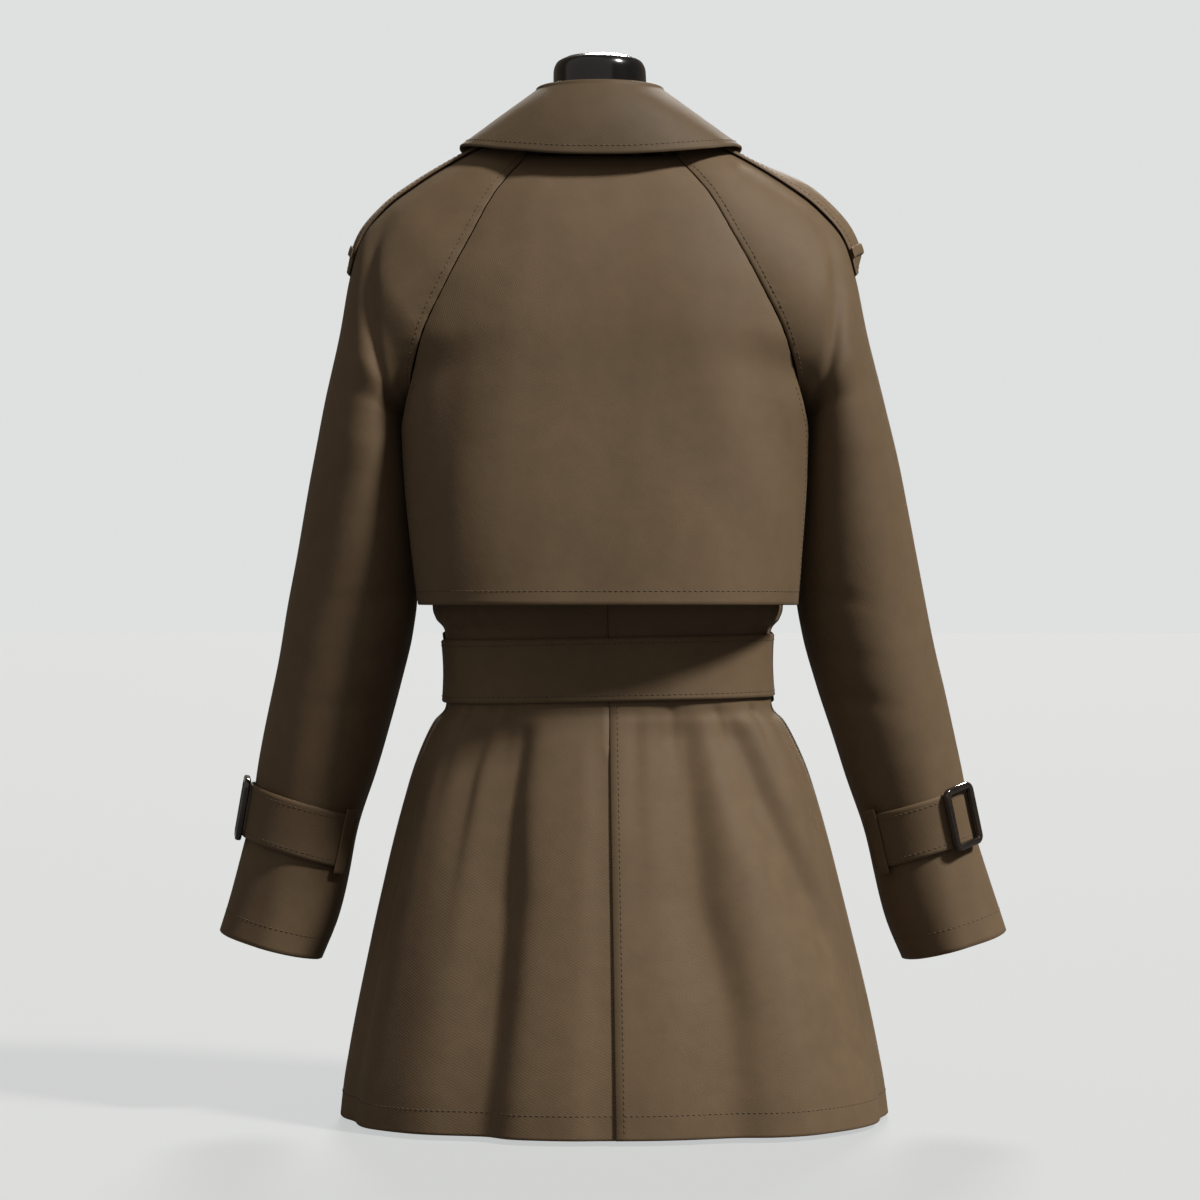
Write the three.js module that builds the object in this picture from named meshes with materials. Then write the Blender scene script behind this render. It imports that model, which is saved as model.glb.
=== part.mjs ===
// Belted trench coat standing on a smooth torso form.
// Millimetres, +Z up. The wearer's front faces -Y and the wearer's left is +X.
// Z = 0 is the floor under the form; the coat's hem hangs just above it.
import * as THREE from "three";

// ---- driving dimensions ----
const CLOTH = 1.6; // wall of one layer of coat cloth
const DOUBLE_CLOTH = 2.4; // wall of belt, straps, collar and lapels
const SEAM_GAP = 0.3; // slit between two pieces that are sewn together
const LAY_GAP = 0.8; // air under a strap that lies on the coat
const UNDER = CLOTH + SEAM_GAP; // depth of a layer sewn in under another
const LAP = 3.8; // depth of an edge that laps loosely under another
const AXIS_Y = -4; // middle of the torso, front to back
const ROUNDNESS = { chest: 3, skirt: 2.4 }; // exponent of the torso's rounded section
const LEAN = 0.0147; // the coat leans to the wearer's left, mm per mm of height
const BELT_MIDDLE = 354.5;
const BELT_WIDTH = 46;
const BELT_TILT = 0.02; // the belt climbs towards the wearer's right
const FRONT_EDGE = 78; // the front edges lie this far past the middle
const TOP_BUTTON_Z = 512;
const LAPEL_SLANT = 0.56; // sideways run of the lapel fold, mm per mm of height
const BUTTON_COLUMN = 58;
const BUTTON_ROWS = [490, 425, 262];
const BUTTON_RADIUS = 12;
const BUTTON_DEPTH = 4;
const VENT_TOP = 300;
const VENT_UNDERLAP = 34;
const CUFF_BUCKLE = { wide: 34, tall: 50, bar: 5.5, deep: 3.5, corner: 7 };
const CUFF_SEATS = { left: 0.05, right: 0.27 }; // share of the way from a sleeve's top line to its back seam
const BELT_BUCKLE = { wide: 62, tall: 62, bar: 7, deep: 4.5, corner: 10 };

// ---- section tables, all heights above the floor ----
// Upper body: the row of points from the middle line out to the shoulder seam.
const BACK_UPPER = [
  // zMid, zSeam, yMid, ySeam, xSeam
  [752, 753, 60, 50, 58],
  [724, 722, 76, 69, 83],
  [692, 689, 90, 80, 101],
  [656, 651, 101, 86, 121],
  [620, 613, 107.5, 84, 139],
  [588, 579, 111, 68, 149],
  [565, 560, 110, 40, 151],
];
const FRONT_UPPER = [
  [736, 748, -60, -46, 60],
  [708, 716, -84, -67, 83],
  [675, 682, -104, -80, 101],
  [642, 647, -118, -87, 120],
  [611, 612, -125, -84, 137],
  [583, 580, -126, -68, 148],
  [563, 561, -125, -42, 151],
];
// Body from the underarm down, one closed ring to a row.
const BODY = [
  // z, halfWidth, back, front
  [548, 151, 108, -123],
  [532, 146, 107, -121],
  [512, 143, 105.5, -117],
  [487, 141, 103, -112],
  [460, 139.5, 101, -107],
  [430, 139, 98.5, -102],
  [403, 138.5, 94, -98],
  [393, 135.5, 90, -95],
  [384, 129, 86.5, -92],
  [355, 127, 84.5, -90],
  [325, 129, 86, -92],
  [313, 138.5, 90, -96],
  [297, 147, 95, -101],
  [276, 155.5, 101, -106],
  [248, 164, 108.5, -111],
  [215, 173, 116, -117],
  [180, 181.5, 123, -123],
  [142, 190.5, 130.5, -129],
  [102, 199.5, 138, -136],
  [60, 208, 145, -141],
  [29, 213.5, 149, -144],
  [4, 216.5, 151, -146],
];
// Sleeve head: its top line, and the ellipse that runs from there to each seam.
const SLEEVE_HEAD = [
  // xTop, zTop, yTop, turnBack, depthBack, turnFront, depthFront
  [62, 780, 8, 60, 48.5, 60, 62],
  [108, 757, 5, 70, 68, 70, 77],
  [144, 736, 2, 76, 79, 76, 85],
  [171, 716, 0, 84, 86.5, 84, 87.5],
  [190, 693, -2, 97, 86.6, 97, 82.6],
  [200, 661, -3, 118, 80.4, 118, 73.6],
  [208.5, 617, -4, 147, 79, 147, 70],
];
// Sleeve from the underarm down: outer line, inner line and half depths.
const SLEEVE = [
  // xTop, zTop, xInner, zInner, yMid, depthBack, depthFront
  [220, 569, 151, 548, -4, 73, 68],
  [225.5, 545, 150, 523, -4, 72, 67],
  [232.5, 512, 148.5, 489, -6, 70, 66],
  [239.5, 475, 148, 452, -8, 68, 64],
  [246.5, 437, 149.5, 414, -10, 65, 62],
  [253.5, 402, 154.5, 380, -12, 62, 60],
  [260.5, 366, 164.5, 342, -14, 60, 58],
  [268, 332, 175, 307, -16, 58, 56],
  [275.5, 298, 185.5, 272, -18, 55, 53],
  [283, 263, 197, 237, -20, 51, 50],
  [291.5, 221, 207, 195, -22, 49, 48],
  [303, 179, 217.5, 155, -24, 50, 49],
  [313.5, 145, 231, 122, -25, 50, 49],
];
const SHIELD_LOWER = [
  // free part of the storm shield: zMid, zEdge, yMid, yEdge, xEdge
  [566, 556, 113.5, 62, 155],
  [546, 537, 116, 54, 158],
  [510, 504, 120.5, 51, 157],
  [472, 468, 125, 50, 154.5],
  [436, 433, 128.5, 49, 151],
  [404, 404, 131, 48, 147],
];
const SKIRT_FOLDS = [
  // angle from the middle of the back at belt and hem, half angle, depth at hem
  { belt: 44, hem: 43, half: 7, depth: 4 },
  { belt: 26, hem: 27, half: 8.5, depth: 14 },
  { belt: -16, hem: -19, half: 8, depth: 10 },
  { belt: -40, hem: -62, half: 8, depth: 7 },
  { belt: 128, hem: 132, half: 9, depth: 9 },
  { belt: -130, hem: -134, half: 9, depth: 9 },
];
const FORM = [
  // z, halfWidth, back, front
  [0, 128, 92, -92],
  [60, 139, 104, -102],
  [130, 147, 111, -108],
  [190, 146, 107, -104],
  [250, 136, 95, -93],
  [310, 120, 83, -81],
  [355, 113, 79, -77],
  [400, 118, 82, -82],
  [460, 126, 88, -92],
  [520, 131, 91, -102],
  [560, 134, 92, -104],
  [600, 137, 91, -101],
  [640, 141, 87, -92],
  [675, 145, 79, -80],
  [700, 143, 69, -68],
  [718, 132, 60, -58],
  [732, 112, 53, -52],
  [744, 84, 48, -47],
  [754, 55, 42, -40],
  [766, 45, 41, -42],
  [785, 38.5, 39, -40],
  [805, 37, 38, -39],
  [825, 36.5, 37.5, -38.5],
  [832, 34, 35, -36],
  [836, 27, 28, -29],
];

// ---- small maths ----
const clamp = (x, low, high) => Math.min(high, Math.max(low, x));
const smooth = (x, from, to) => {
  const t = clamp((x - from) / (to - from), 0, 1);
  return t * t * (3 - 2 * t);
};
const mix = (a, b, t) => a + (b - a) * t;
const radians = (degrees) => (degrees * Math.PI) / 180;
const power = (x, e) => Math.sign(x) * Math.abs(x) ** e;
const vector = (x, y, z) => new THREE.Vector3(x, y, z);
const steps = (from, to, count) =>
  Array.from({ length: count + 1 }, (_, i) => mix(from, to, i / count));

// A smooth curve through one column of a table, read at a fractional row, that never overshoots.
function column(rows, index) {
  const y = rows.map((row) => row[index]);
  const rise = y.slice(1).map((value, i) => value - y[i]);
  const slope = y.map((_, i) => {
    if (i === 0) return rise[0];
    if (i === y.length - 1) return rise[i - 1];
    const before = rise[i - 1];
    const after = rise[i];
    return before * after > 0 ? (2 * before * after) / (before + after) : 0;
  });
  return (row) => {
    const i = clamp(Math.floor(row), 0, y.length - 2);
    const t = row - i;
    const a = t * t * (3 - 2 * t);
    const b = t * (1 - t) * (1 - t);
    const c = t * t * (t - 1);
    return y[i] + a * rise[i] + b * slope[i] + c * slope[i + 1];
  };
}

const UNDERARM = BACK_UPPER.length; // row where the sleeve closes
const ringRows = (part) => BODY.map(([z, half, back, front]) => {
  const y = part === "back" ? back : front;
  return [z, z, y, AXIS_Y, half];
});
const columns = (rows) => rows[0].map((_, i) => column(rows, i));
const BACK = columns([...BACK_UPPER, ...ringRows("back")]);
const FRONT = columns([...FRONT_UPPER, ...ringRows("front")]);
const LAST_ROW = UNDERARM + BODY.length - 1;
const SHIELD = columns([...BACK_UPPER.slice(0, 6), ...SHIELD_LOWER]);
const SHIELD_END = 5 + SHIELD_LOWER.length;
const HEAD = columns([...SLEEVE_HEAD, [220, 569, -4, 180, 73, 180, 68]]);
const TUBE = columns(SLEEVE);
const SLEEVE_END = UNDERARM + SLEEVE.length - 1;

// Row of the body table at a height below the underarm.
function bodyRow(z) {
  const i = BODY.findIndex((row) => row[0] <= z);
  const high = BODY[i - 1];
  const low = BODY[i];
  return UNDERARM + i - 1 + (high[0] - z) / (high[0] - low[0]);
}

// Outward push of the skirt's folds, by angle from the middle of the back.
function foldPush(angle, z) {
  const grown = smooth(z, 322, 130);
  const drop = clamp((BELT_MIDDLE - z) / BELT_MIDDLE, 0, 1);
  const cuts = SKIRT_FOLDS.map((fold) => {
    const offset = (angle - mix(fold.belt, fold.hem, drop)) / fold.half;
    return -fold.depth * Math.exp(-offset * offset);
  });
  return grown * cuts.reduce((sum, cut) => sum + cut, 0);
}

// Exponent of the section's sines and cosines: the chest is squarer than the skirt.
const squareness = (row) => 2 / mix(ROUNDNESS.chest, ROUNDNESS.skirt, smooth(row, 13, 20));

// A point of the body: s runs from -1 at the wearer's right seam to +1 at the left one.
function torso(table, row, s) {
  const [zMid, zSeam, yMid, ySeam, xSeam] = table.map((read) => read(row));
  const e = squareness(row);
  const seamCos = clamp((ySeam - AXIS_Y) / (yMid - AXIS_Y), 0, 1);
  const seamAngle = Math.acos(seamCos ** (1 / e));
  const angle = seamAngle * s;
  const half = xSeam / Math.sin(seamAngle) ** e;
  const z = mix(zMid, zSeam, s * s);
  const back = yMid > 0;
  const degrees = (angle * 180) / Math.PI;
  const fromBack = back ? degrees : Math.sign(s || 1) * 180 - degrees;
  const push = foldPush(fromBack, z);
  return vector(
    half * power(Math.sin(angle), e) + push * Math.sin(angle),
    AXIS_Y + (yMid - AXIS_Y) * power(Math.cos(angle), e) + push * Math.cos(angle) * (back ? 1 : -1),
    z,
  );
}
const back = (row, s) => torso(BACK, row, s);
const front = (row, s) => torso(FRONT, row, s);
const shield = (row, s) => torso(SHIELD, row, s);

// A point of the wearer's left sleeve: t is 0 on its top line and 1 on its seam or inner line.
function sleeve(part, row, t) {
  const isBack = part === "back";
  const sign = isBack ? 1 : -1;
  if (row < UNDERARM) {
    const [xTop, zTop, yTop, turnB, depthB, turnF, depthF] = HEAD.map((read) => read(row));
    const turn = radians(isBack ? turnB : turnF);
    const depth = isBack ? depthB : depthF;
    const seam = isBack ? back(row, 1) : front(row, 1);
    const along = (1 - Math.cos(turn * t)) / (1 - Math.cos(turn));
    const miss = seam.y - yTop - sign * depth * Math.sin(turn);
    const y = yTop + sign * depth * Math.sin(turn * t) + miss * t * t;
    return vector(mix(xTop, seam.x, along), y, mix(zTop, seam.z, along));
  }
  const [xTop, zTop, xIn, zIn, yMid, depthB, depthF] = TUBE.map((read) => read(row - UNDERARM));
  const depth = isBack ? depthB : depthF;
  const along = (1 - Math.cos(Math.PI * t)) / 2;
  const y = yMid + sign * depth * Math.sin(Math.PI * t);
  return vector(mix(xTop, xIn, along), y, mix(zTop, zIn, along));
}
// The whole way round the sleeve: w is 0 on top, +1 at the back seam, -1 at the front seam.
const sleeveRound = (row, w) => sleeve(w >= 0 ? "back" : "front", row, Math.abs(w));

// ---- building shells ----
function normalAt(surface, u, v) {
  const step = 0.002;
  const du = surface(u + step, v).sub(surface(u - step, v));
  const dv = surface(u, v + step).sub(surface(u, v - step));
  return du.cross(dv).normalize();
}

// A closed shell of cloth over a grid of a surface. lift is the height of its outer face.
// inside is a point on the hollow side; slit narrows each edge that meets a neighbour.
function sheet(surface, us, vs, { lift = 0, wall = CLOTH, inside, slit = SEAM_GAP / 2 }) {
  const points = us.map((u) => vs.map((v) => surface(u, v)));
  const normals = us.map((u) => vs.map((v) => normalAt(surface, u, v)));
  const midU = us.length >> 1;
  const midV = vs.length >> 1;
  const outward = points[midU][midV].clone().sub(inside).dot(normals[midU][midV]) > 0 ? 1 : -1;
  const liftAt = typeof lift === "function" ? lift : () => lift;
  const edgeShift = (i, j) => {
    const shift = vector(0, 0, 0);
    const neighbour = (a, b) => points[a][b].clone().sub(points[i][j]).setLength(slit);
    if (i === 0) shift.add(neighbour(1, j));
    if (i === us.length - 1) shift.add(neighbour(i - 1, j));
    if (j === 0) shift.add(neighbour(i, 1));
    if (j === vs.length - 1) shift.add(neighbour(i, j - 1));
    return shift;
  };
  const layer = (depth) => us.map((u, i) => vs.map((v, j) =>
    points[i][j].clone()
      .addScaledVector(normals[i][j], outward * (liftAt(u, v) - depth))
      .add(edgeShift(i, j))));
  return shell(layer(0), layer(wall));
}

// Join two grids of the same size into one closed body.
function shell(outer, inner, roundTrip = false) {
  const rows = outer.length;
  const width = outer[0].length;
  const positions = [...outer.flat(), ...inner.flat()].flatMap((p) => [p.x, p.y, p.z]);
  const top = (i, j) => i * width + (j % width);
  const under = (i, j) => rows * width + i * width + (j % width);
  const index = [];
  const quad = (a, b, c, d) => index.push(a, b, c, a, c, d);
  const lastColumn = roundTrip ? width : width - 1;
  for (let i = 0; i < rows - 1; i++) {
    for (let j = 0; j < lastColumn; j++) {
      quad(top(i, j), top(i, j + 1), top(i + 1, j + 1), top(i + 1, j));
      quad(under(i, j), under(i + 1, j), under(i + 1, j + 1), under(i, j + 1));
    }
  }
  for (let j = 0; j < lastColumn; j++) {
    quad(top(0, j), under(0, j), under(0, j + 1), top(0, j + 1));
    quad(top(rows - 1, j), top(rows - 1, j + 1), under(rows - 1, j + 1), under(rows - 1, j));
  }
  if (!roundTrip) {
    for (let i = 0; i < rows - 1; i++) {
      quad(top(i, 0), top(i + 1, 0), under(i + 1, 0), under(i, 0));
      quad(top(i, width - 1), under(i, width - 1), under(i + 1, width - 1), top(i + 1, width - 1));
    }
  }
  const geometry = new THREE.BufferGeometry();
  geometry.setAttribute("position", new THREE.Float32BufferAttribute(positions, 3));
  geometry.setIndex(index);
  return geometry;
}

// Signed volume of a closed body, to tell whether its faces point out.
function volume(geometry) {
  const p = geometry.attributes.position;
  const index = geometry.index ? [...geometry.index.array] : [...Array(p.count).keys()];
  const at = (k) => new THREE.Vector3().fromBufferAttribute(p, index[k]);
  let sum = 0;
  for (let k = 0; k < index.length; k += 3) sum += at(k).dot(at(k + 1).cross(at(k + 2))) / 6;
  return sum;
}

const model = new THREE.Group();
const COLOURS = {
  gabardine: 0x6b5a45,
  form: 0x0a0a0c,
  buckle: 0x14110f,
  button: 0x2a1f18,
};
function add(name, slot, geometry, { mirror = false, lean = true } = {}) {
  const body = geometry.clone();
  if (mirror) body.scale(-1, 1, 1);
  if (lean) {
    const p = body.attributes.position;
    for (let i = 0; i < p.count; i++) p.setX(i, p.getX(i) + LEAN * p.getZ(i));
  }
  if (volume(body) < 0) {
    if (body.index) {
      const index = body.index.array;
      for (let k = 0; k < index.length; k += 3) {
        [index[k], index[k + 1]] = [index[k + 1], index[k]];
      }
    } else {
      body.setIndex([...Array(body.attributes.position.count).keys()].map((k) =>
        k % 3 === 0 ? k + 1 : k % 3 === 1 ? k - 1 : k));
    }
  }
  body.deleteAttribute("uv");
  body.deleteAttribute("normal");
  body.computeVertexNormals();
  const material = new THREE.MeshStandardMaterial({ color: COLOURS[slot], roughness: 0.7 });
  material.name = slot;
  const mesh = new THREE.Mesh(body, material);
  mesh.name = name;
  model.add(mesh);
}

// ---- torso form ----
{
  const count = 40;
  const e = 2 / 2.2;
  const ring = ([z, half, backY, frontY]) => steps(0, 360, count).slice(0, count).map((degrees) => {
    const a = radians(degrees);
    const depth = Math.cos(a) > 0 ? backY - AXIS_Y : AXIS_Y - frontY;
    return vector(half * power(Math.sin(a), e), AXIS_Y + depth * power(Math.cos(a), e), z);
  });
  const rings = FORM.map(ring);
  const top = FORM[FORM.length - 1][0];
  const points = [...rings.flat(), vector(0, AXIS_Y, 0), vector(0, AXIS_Y, top + 1.5)];
  const floorPoint = rings.length * count;
  const index = [];
  for (let j = 0; j < count; j++) {
    const next = (j + 1) % count;
    for (let i = 0; i < rings.length - 1; i++) {
      const a = i * count;
      const b = a + count;
      index.push(a + j, a + next, b + next, a + j, b + next, b + j);
    }
    const last = (rings.length - 1) * count;
    index.push(floorPoint, next, j, floorPoint + 1, last + j, last + next);
  }
  const geometry = new THREE.BufferGeometry();
  geometry.setAttribute("position",
    new THREE.Float32BufferAttribute(points.flatMap((p) => [p.x, p.y, p.z]), 3));
  geometry.setIndex(index);
  add("torso_form", "form", geometry);
}

// ---- body panels ----
const torsoInside = vector(0, AXIS_Y, 320);
const EVEN_STRETCH = [532, 487, 430]; // heights where the body needs no section of its own
const bodyRows = steps(0, LAST_ROW, LAST_ROW).filter((row) =>
  row < UNDERARM || !EVEN_STRETCH.includes(BODY[row - UNDERARM][0]));
// The share of the way to the seam at which a row of the body lies x from the middle.
function shareAt(table, row, x) {
  const [, , yMid, ySeam, xSeam] = table.map((read) => read(row));
  const e = squareness(row);
  const seamAngle = Math.acos(clamp((ySeam - AXIS_Y) / (yMid - AXIS_Y), 0, 1) ** (1 / e));
  const half = xSeam / Math.sin(seamAngle) ** e;
  return Math.sign(x) * Math.asin(clamp(Math.abs(x) / half, 0, 1) ** (1 / e)) / seamAngle;
}
const backLift = (row) => mix(-UNDER, 0, smooth(row, UNDERARM + 1, UNDERARM + 5)) - SEAM_GAP;
const BACK_COLUMNS = 9;
const ventShare = (row) => {
  const z = BACK[0](row);
  return z > VENT_TOP ? 0 : shareAt(BACK, row, VENT_UNDERLAP * smooth(z, VENT_TOP, VENT_TOP - 60));
};
const rightBack = (row, v) => back(row, -v);
const leftBack = (row, v) => back(row, mix(-ventShare(row), 1, v));
const leftBackLift = (row, v) => {
  const s = mix(-ventShare(row), 1, v);
  const vent = smooth(BACK[0](row), VENT_TOP + 20, VENT_TOP - 20);
  return backLift(row) - vent * LAP * smooth(s, 0.12, 0.015);
};
add("back_right", "gabardine",
  sheet(rightBack, bodyRows, steps(0, 1, BACK_COLUMNS), { lift: backLift, inside: torsoInside }));
add("back_left", "gabardine",
  sheet(leftBack, bodyRows, steps(0, 1, BACK_COLUMNS), { lift: leftBackLift, inside: torsoInside }));

// The front edge runs straight down from the top button, and slants to the neck above it.
const edgeAcross = (z) => FRONT_EDGE - LAPEL_SLANT * Math.max(0, z - TOP_BUTTON_Z);
const frontEdge = (row) => shareAt(FRONT, row, edgeAcross(FRONT[0](row)));
const FRONT_COLUMNS = 10;
const overFront = (row, v) => front(row, mix(-1, frontEdge(row), v));
const underFront = (row, v) => front(row, mix(1, -frontEdge(row), v));
const underFrontLift = (row, v) => {
  const s = mix(1, -frontEdge(row), v);
  return -SEAM_GAP - LAP * smooth(s, frontEdge(row) + 0.28, frontEdge(row) + 0.06);
};
add("front_right", "gabardine", sheet(overFront, bodyRows, steps(0, 1, FRONT_COLUMNS),
  { lift: -SEAM_GAP, inside: torsoInside }));
add("front_left", "gabardine", sheet(underFront, bodyRows, steps(0, 1, FRONT_COLUMNS),
  { lift: underFrontLift, inside: torsoInside }));

// ---- storm shield over the upper back ----
{
  const rows = steps(0, SHIELD_END, SHIELD_END);
  const across = [...steps(-1, 0, BACK_COLUMNS), ...steps(0, 1, BACK_COLUMNS).slice(1)];
  add("storm_shield", "gabardine",
    sheet(shield, rows, across, { lift: -SEAM_GAP, inside: vector(0, AXIS_Y, 600) }));
}

// ---- sleeves, cut in a back and a front half ----
const SLEEVE_COLUMNS = 5;
const sleeveRows = steps(0, SLEEVE_END, SLEEVE_END);
const sleeveShare = steps(0, 1, SLEEVE_COLUMNS);
for (const part of ["back", "front"]) {
  const half = sheet((row, t) => sleeve(part, row, t), sleeveRows, sleeveShare,
    { lift: -SEAM_GAP, inside: vector(200, AXIS_Y, 400) });
  add(`sleeve_left_${part}`, "gabardine", half);
  add(`sleeve_right_${part}`, "gabardine", half, { mirror: true });
}

// ---- collar ----
const FALL_END = 146; // the collar is open in front of this angle
const foldLine = (degrees, inset) => {
  const a = radians(degrees);
  const drop = 26 * smooth(Math.abs(degrees), 80, FALL_END);
  return vector((51 - inset) * Math.sin(a), 3 + (50 - inset) * Math.cos(a), 812 - drop);
};
const hangLine = (degrees) => {
  const a = radians(degrees);
  const ahead = smooth(Math.abs(degrees), 95, FALL_END);
  const side = smooth(Math.abs(degrees), 0, 85);
  return vector(
    112 * power(Math.sin(a), 0.86),
    4 + (Math.cos(a) > 0 ? 76 : 116) * power(Math.cos(a), 0.9),
    750 + 14 * side - 44 * ahead,
  );
};
{
  const fall = (v, degrees) => {
    const from = foldLine(degrees, 0);
    const to = hangLine(degrees);
    const point = from.lerp(to, v);
    const rise = 7 * Math.sin(Math.PI * v);
    const a = radians(degrees);
    return point.add(vector(0, 0.6 * rise, 0.8 * rise).multiplyScalar(Math.cos(a) ** 2));
  };
  add("collar_fall", "gabardine", sheet(fall, steps(0, 1, 4), steps(-FALL_END, FALL_END, 22),
    { wall: DOUBLE_CLOTH, inside: vector(0, 0, 700) }));
  const stand = (v, degrees) => {
    const a = radians(degrees);
    const neck = vector(55.5 * Math.sin(a), 3 + (Math.cos(a) > 0 ? 53 : 60) * Math.cos(a), 0);
    const side = Math.sin(a) ** 4;
    const ahead = smooth(Math.abs(degrees), 100, FALL_END);
    neck.z = 757 + 27 * side - 4 * ahead;
    return neck.lerp(foldLine(degrees, 4).add(vector(0, 0, -3)), v);
  };
  add("collar_stand", "gabardine", sheet(stand, steps(0, 1, 2), steps(-FALL_END, FALL_END, 22),
    { inside: vector(0, 0, 780) }));
}

// ---- lapels, folded back on the fronts ----
{
  const LAPEL_WIDTHS = [
    // z, width
    [512, 2],
    [540, 18],
    [575, 36],
    [610, 52],
    [645, 64],
    [672, 72],
    [690, 70],
    [706, 50],
    [722, 30],
    [740, 14],
  ];
  const widthAt = (z) => {
    const i = clamp(LAPEL_WIDTHS.findIndex((row) => row[0] > z), 1, LAPEL_WIDTHS.length - 1);
    const [low, lowWidth] = LAPEL_WIDTHS[i - 1];
    const [high, highWidth] = LAPEL_WIDTHS[i];
    return mix(lowWidth, highWidth, (z - low) / (high - low));
  };
  const lapel = (side, row, v) => {
    const z = FRONT[0](row);
    const fold = -edgeAcross(z) * side;
    const hidden = side > 0 ? edgeAcross(z) + 2 : -Infinity;
    const near = Math.max(fold * side + 1.5, hidden);
    const far = Math.max(fold * side + widthAt(z), near + 2);
    return front(row, shareAt(FRONT, row, side * mix(near, far, v)));
  };
  const options = { lift: 2 * LAY_GAP + DOUBLE_CLOTH, wall: DOUBLE_CLOTH, inside: torsoInside };
  add("lapel_right", "gabardine", sheet((row, v) => lapel(-1, row, v),
    [...steps(bodyRow(514), UNDERARM, 2), ...steps(UNDERARM - 0.5, 0.1, 13)], steps(0, 1, 4), options));
  add("lapel_left", "gabardine", sheet((row, v) => lapel(1, row, v),
    steps(4.3, 0.1, 8), steps(0, 1, 4), options));
}

// ---- belt ----
// Once round the body: turn runs from 0 at the middle of the back to 180 at the front.
const around = (row, degrees) => {
  const wrapped = ((degrees + 540) % 360) - 180;
  return Math.abs(wrapped) <= 90
    ? back(row, wrapped / 90)
    : front(row, (Math.sign(wrapped) * (180 - Math.abs(wrapped))) / 90);
};
const beltPoint = (drop, degrees) => {
  const row = bodyRow(BELT_MIDDLE + BELT_WIDTH / 2 - drop);
  const point = around(row, degrees);
  point.z -= BELT_TILT * point.x;
  return point;
};
const beltLift = LAY_GAP + DOUBLE_CLOTH;
add("belt", "gabardine", sheet(beltPoint, [0, 23, BELT_WIDTH], steps(-176, 174, 43),
  { lift: beltLift, wall: DOUBLE_CLOTH, inside: torsoInside }));
add("belt_tail", "gabardine", sheet(beltPoint, [1, 23, BELT_WIDTH - 1], steps(120, 171, 6),
  { lift: beltLift * 2, wall: DOUBLE_CLOTH, inside: torsoInside }));

// Two loops hold the belt, a little in front of the side seams.
for (const [name, middle] of [["belt_loop_left", 104], ["belt_loop_right", -104]]) {
  const loop = (drop, degrees) => {
    return around(bodyRow(385 - drop), degrees);
  };
  const clear = (drop) => {
    const near = Math.min(drop, 60 - drop);
    return mix(LAY_GAP, beltLift + LAY_GAP, smooth(near, 0, 4)) + CLOTH;
  };
  add(name, "gabardine", sheet(loop, [0, 2, 4, 30, 56, 58, 60], steps(middle - 3, middle + 3, 2),
    { lift: clear, inside: torsoInside }));
}

// ---- buckles ----
// An open frame with rounded corners; its face looks along +Z before it is placed.
function buckleFrame({ wide, tall, bar, deep, corner }) {
  const rounded = (target, w, h, r) => {
    target.moveTo(-w / 2 + r, -h / 2);
    target.lineTo(w / 2 - r, -h / 2);
    target.quadraticCurveTo(w / 2, -h / 2, w / 2, -h / 2 + r);
    target.lineTo(w / 2, h / 2 - r);
    target.quadraticCurveTo(w / 2, h / 2, w / 2 - r, h / 2);
    target.lineTo(-w / 2 + r, h / 2);
    target.quadraticCurveTo(-w / 2, h / 2, -w / 2, h / 2 - r);
    target.lineTo(-w / 2, -h / 2 + r);
    target.quadraticCurveTo(-w / 2, -h / 2, -w / 2 + r, -h / 2);
    return target;
  };
  const shape = rounded(new THREE.Shape(), wide, tall, corner);
  shape.holes.push(rounded(new THREE.Path(), wide - 2 * bar, tall - 2 * bar, corner * 0.5));
  return new THREE.ExtrudeGeometry(shape, {
    depth: deep, steps: 1, curveSegments: 4, bevelEnabled: true,
    bevelThickness: 0.8, bevelSize: 0.8, bevelOffset: -0.8, bevelSegments: 1,
  });
}
// Set a body on a surface: its +Z along the normal and its +Y along the given direction.
function place(geometry, point, normal, up) {
  const z = normal.clone().normalize();
  const x = up.clone().cross(z).normalize();
  const y = z.clone().cross(x);
  const frame = new THREE.Matrix4().makeBasis(x, y, z).setPosition(point);
  return geometry.clone().applyMatrix4(frame);
}
{
  const point = beltPoint(BELT_WIDTH / 2, 180);
  const seat = point.add(vector(4, -(beltLift * 2 + 1.3), 0));
  add("belt_buckle", "buckle",
    place(buckleFrame(BELT_BUCKLE), seat, vector(0, -1, 0), vector(0, 0, 1)));
}

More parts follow.
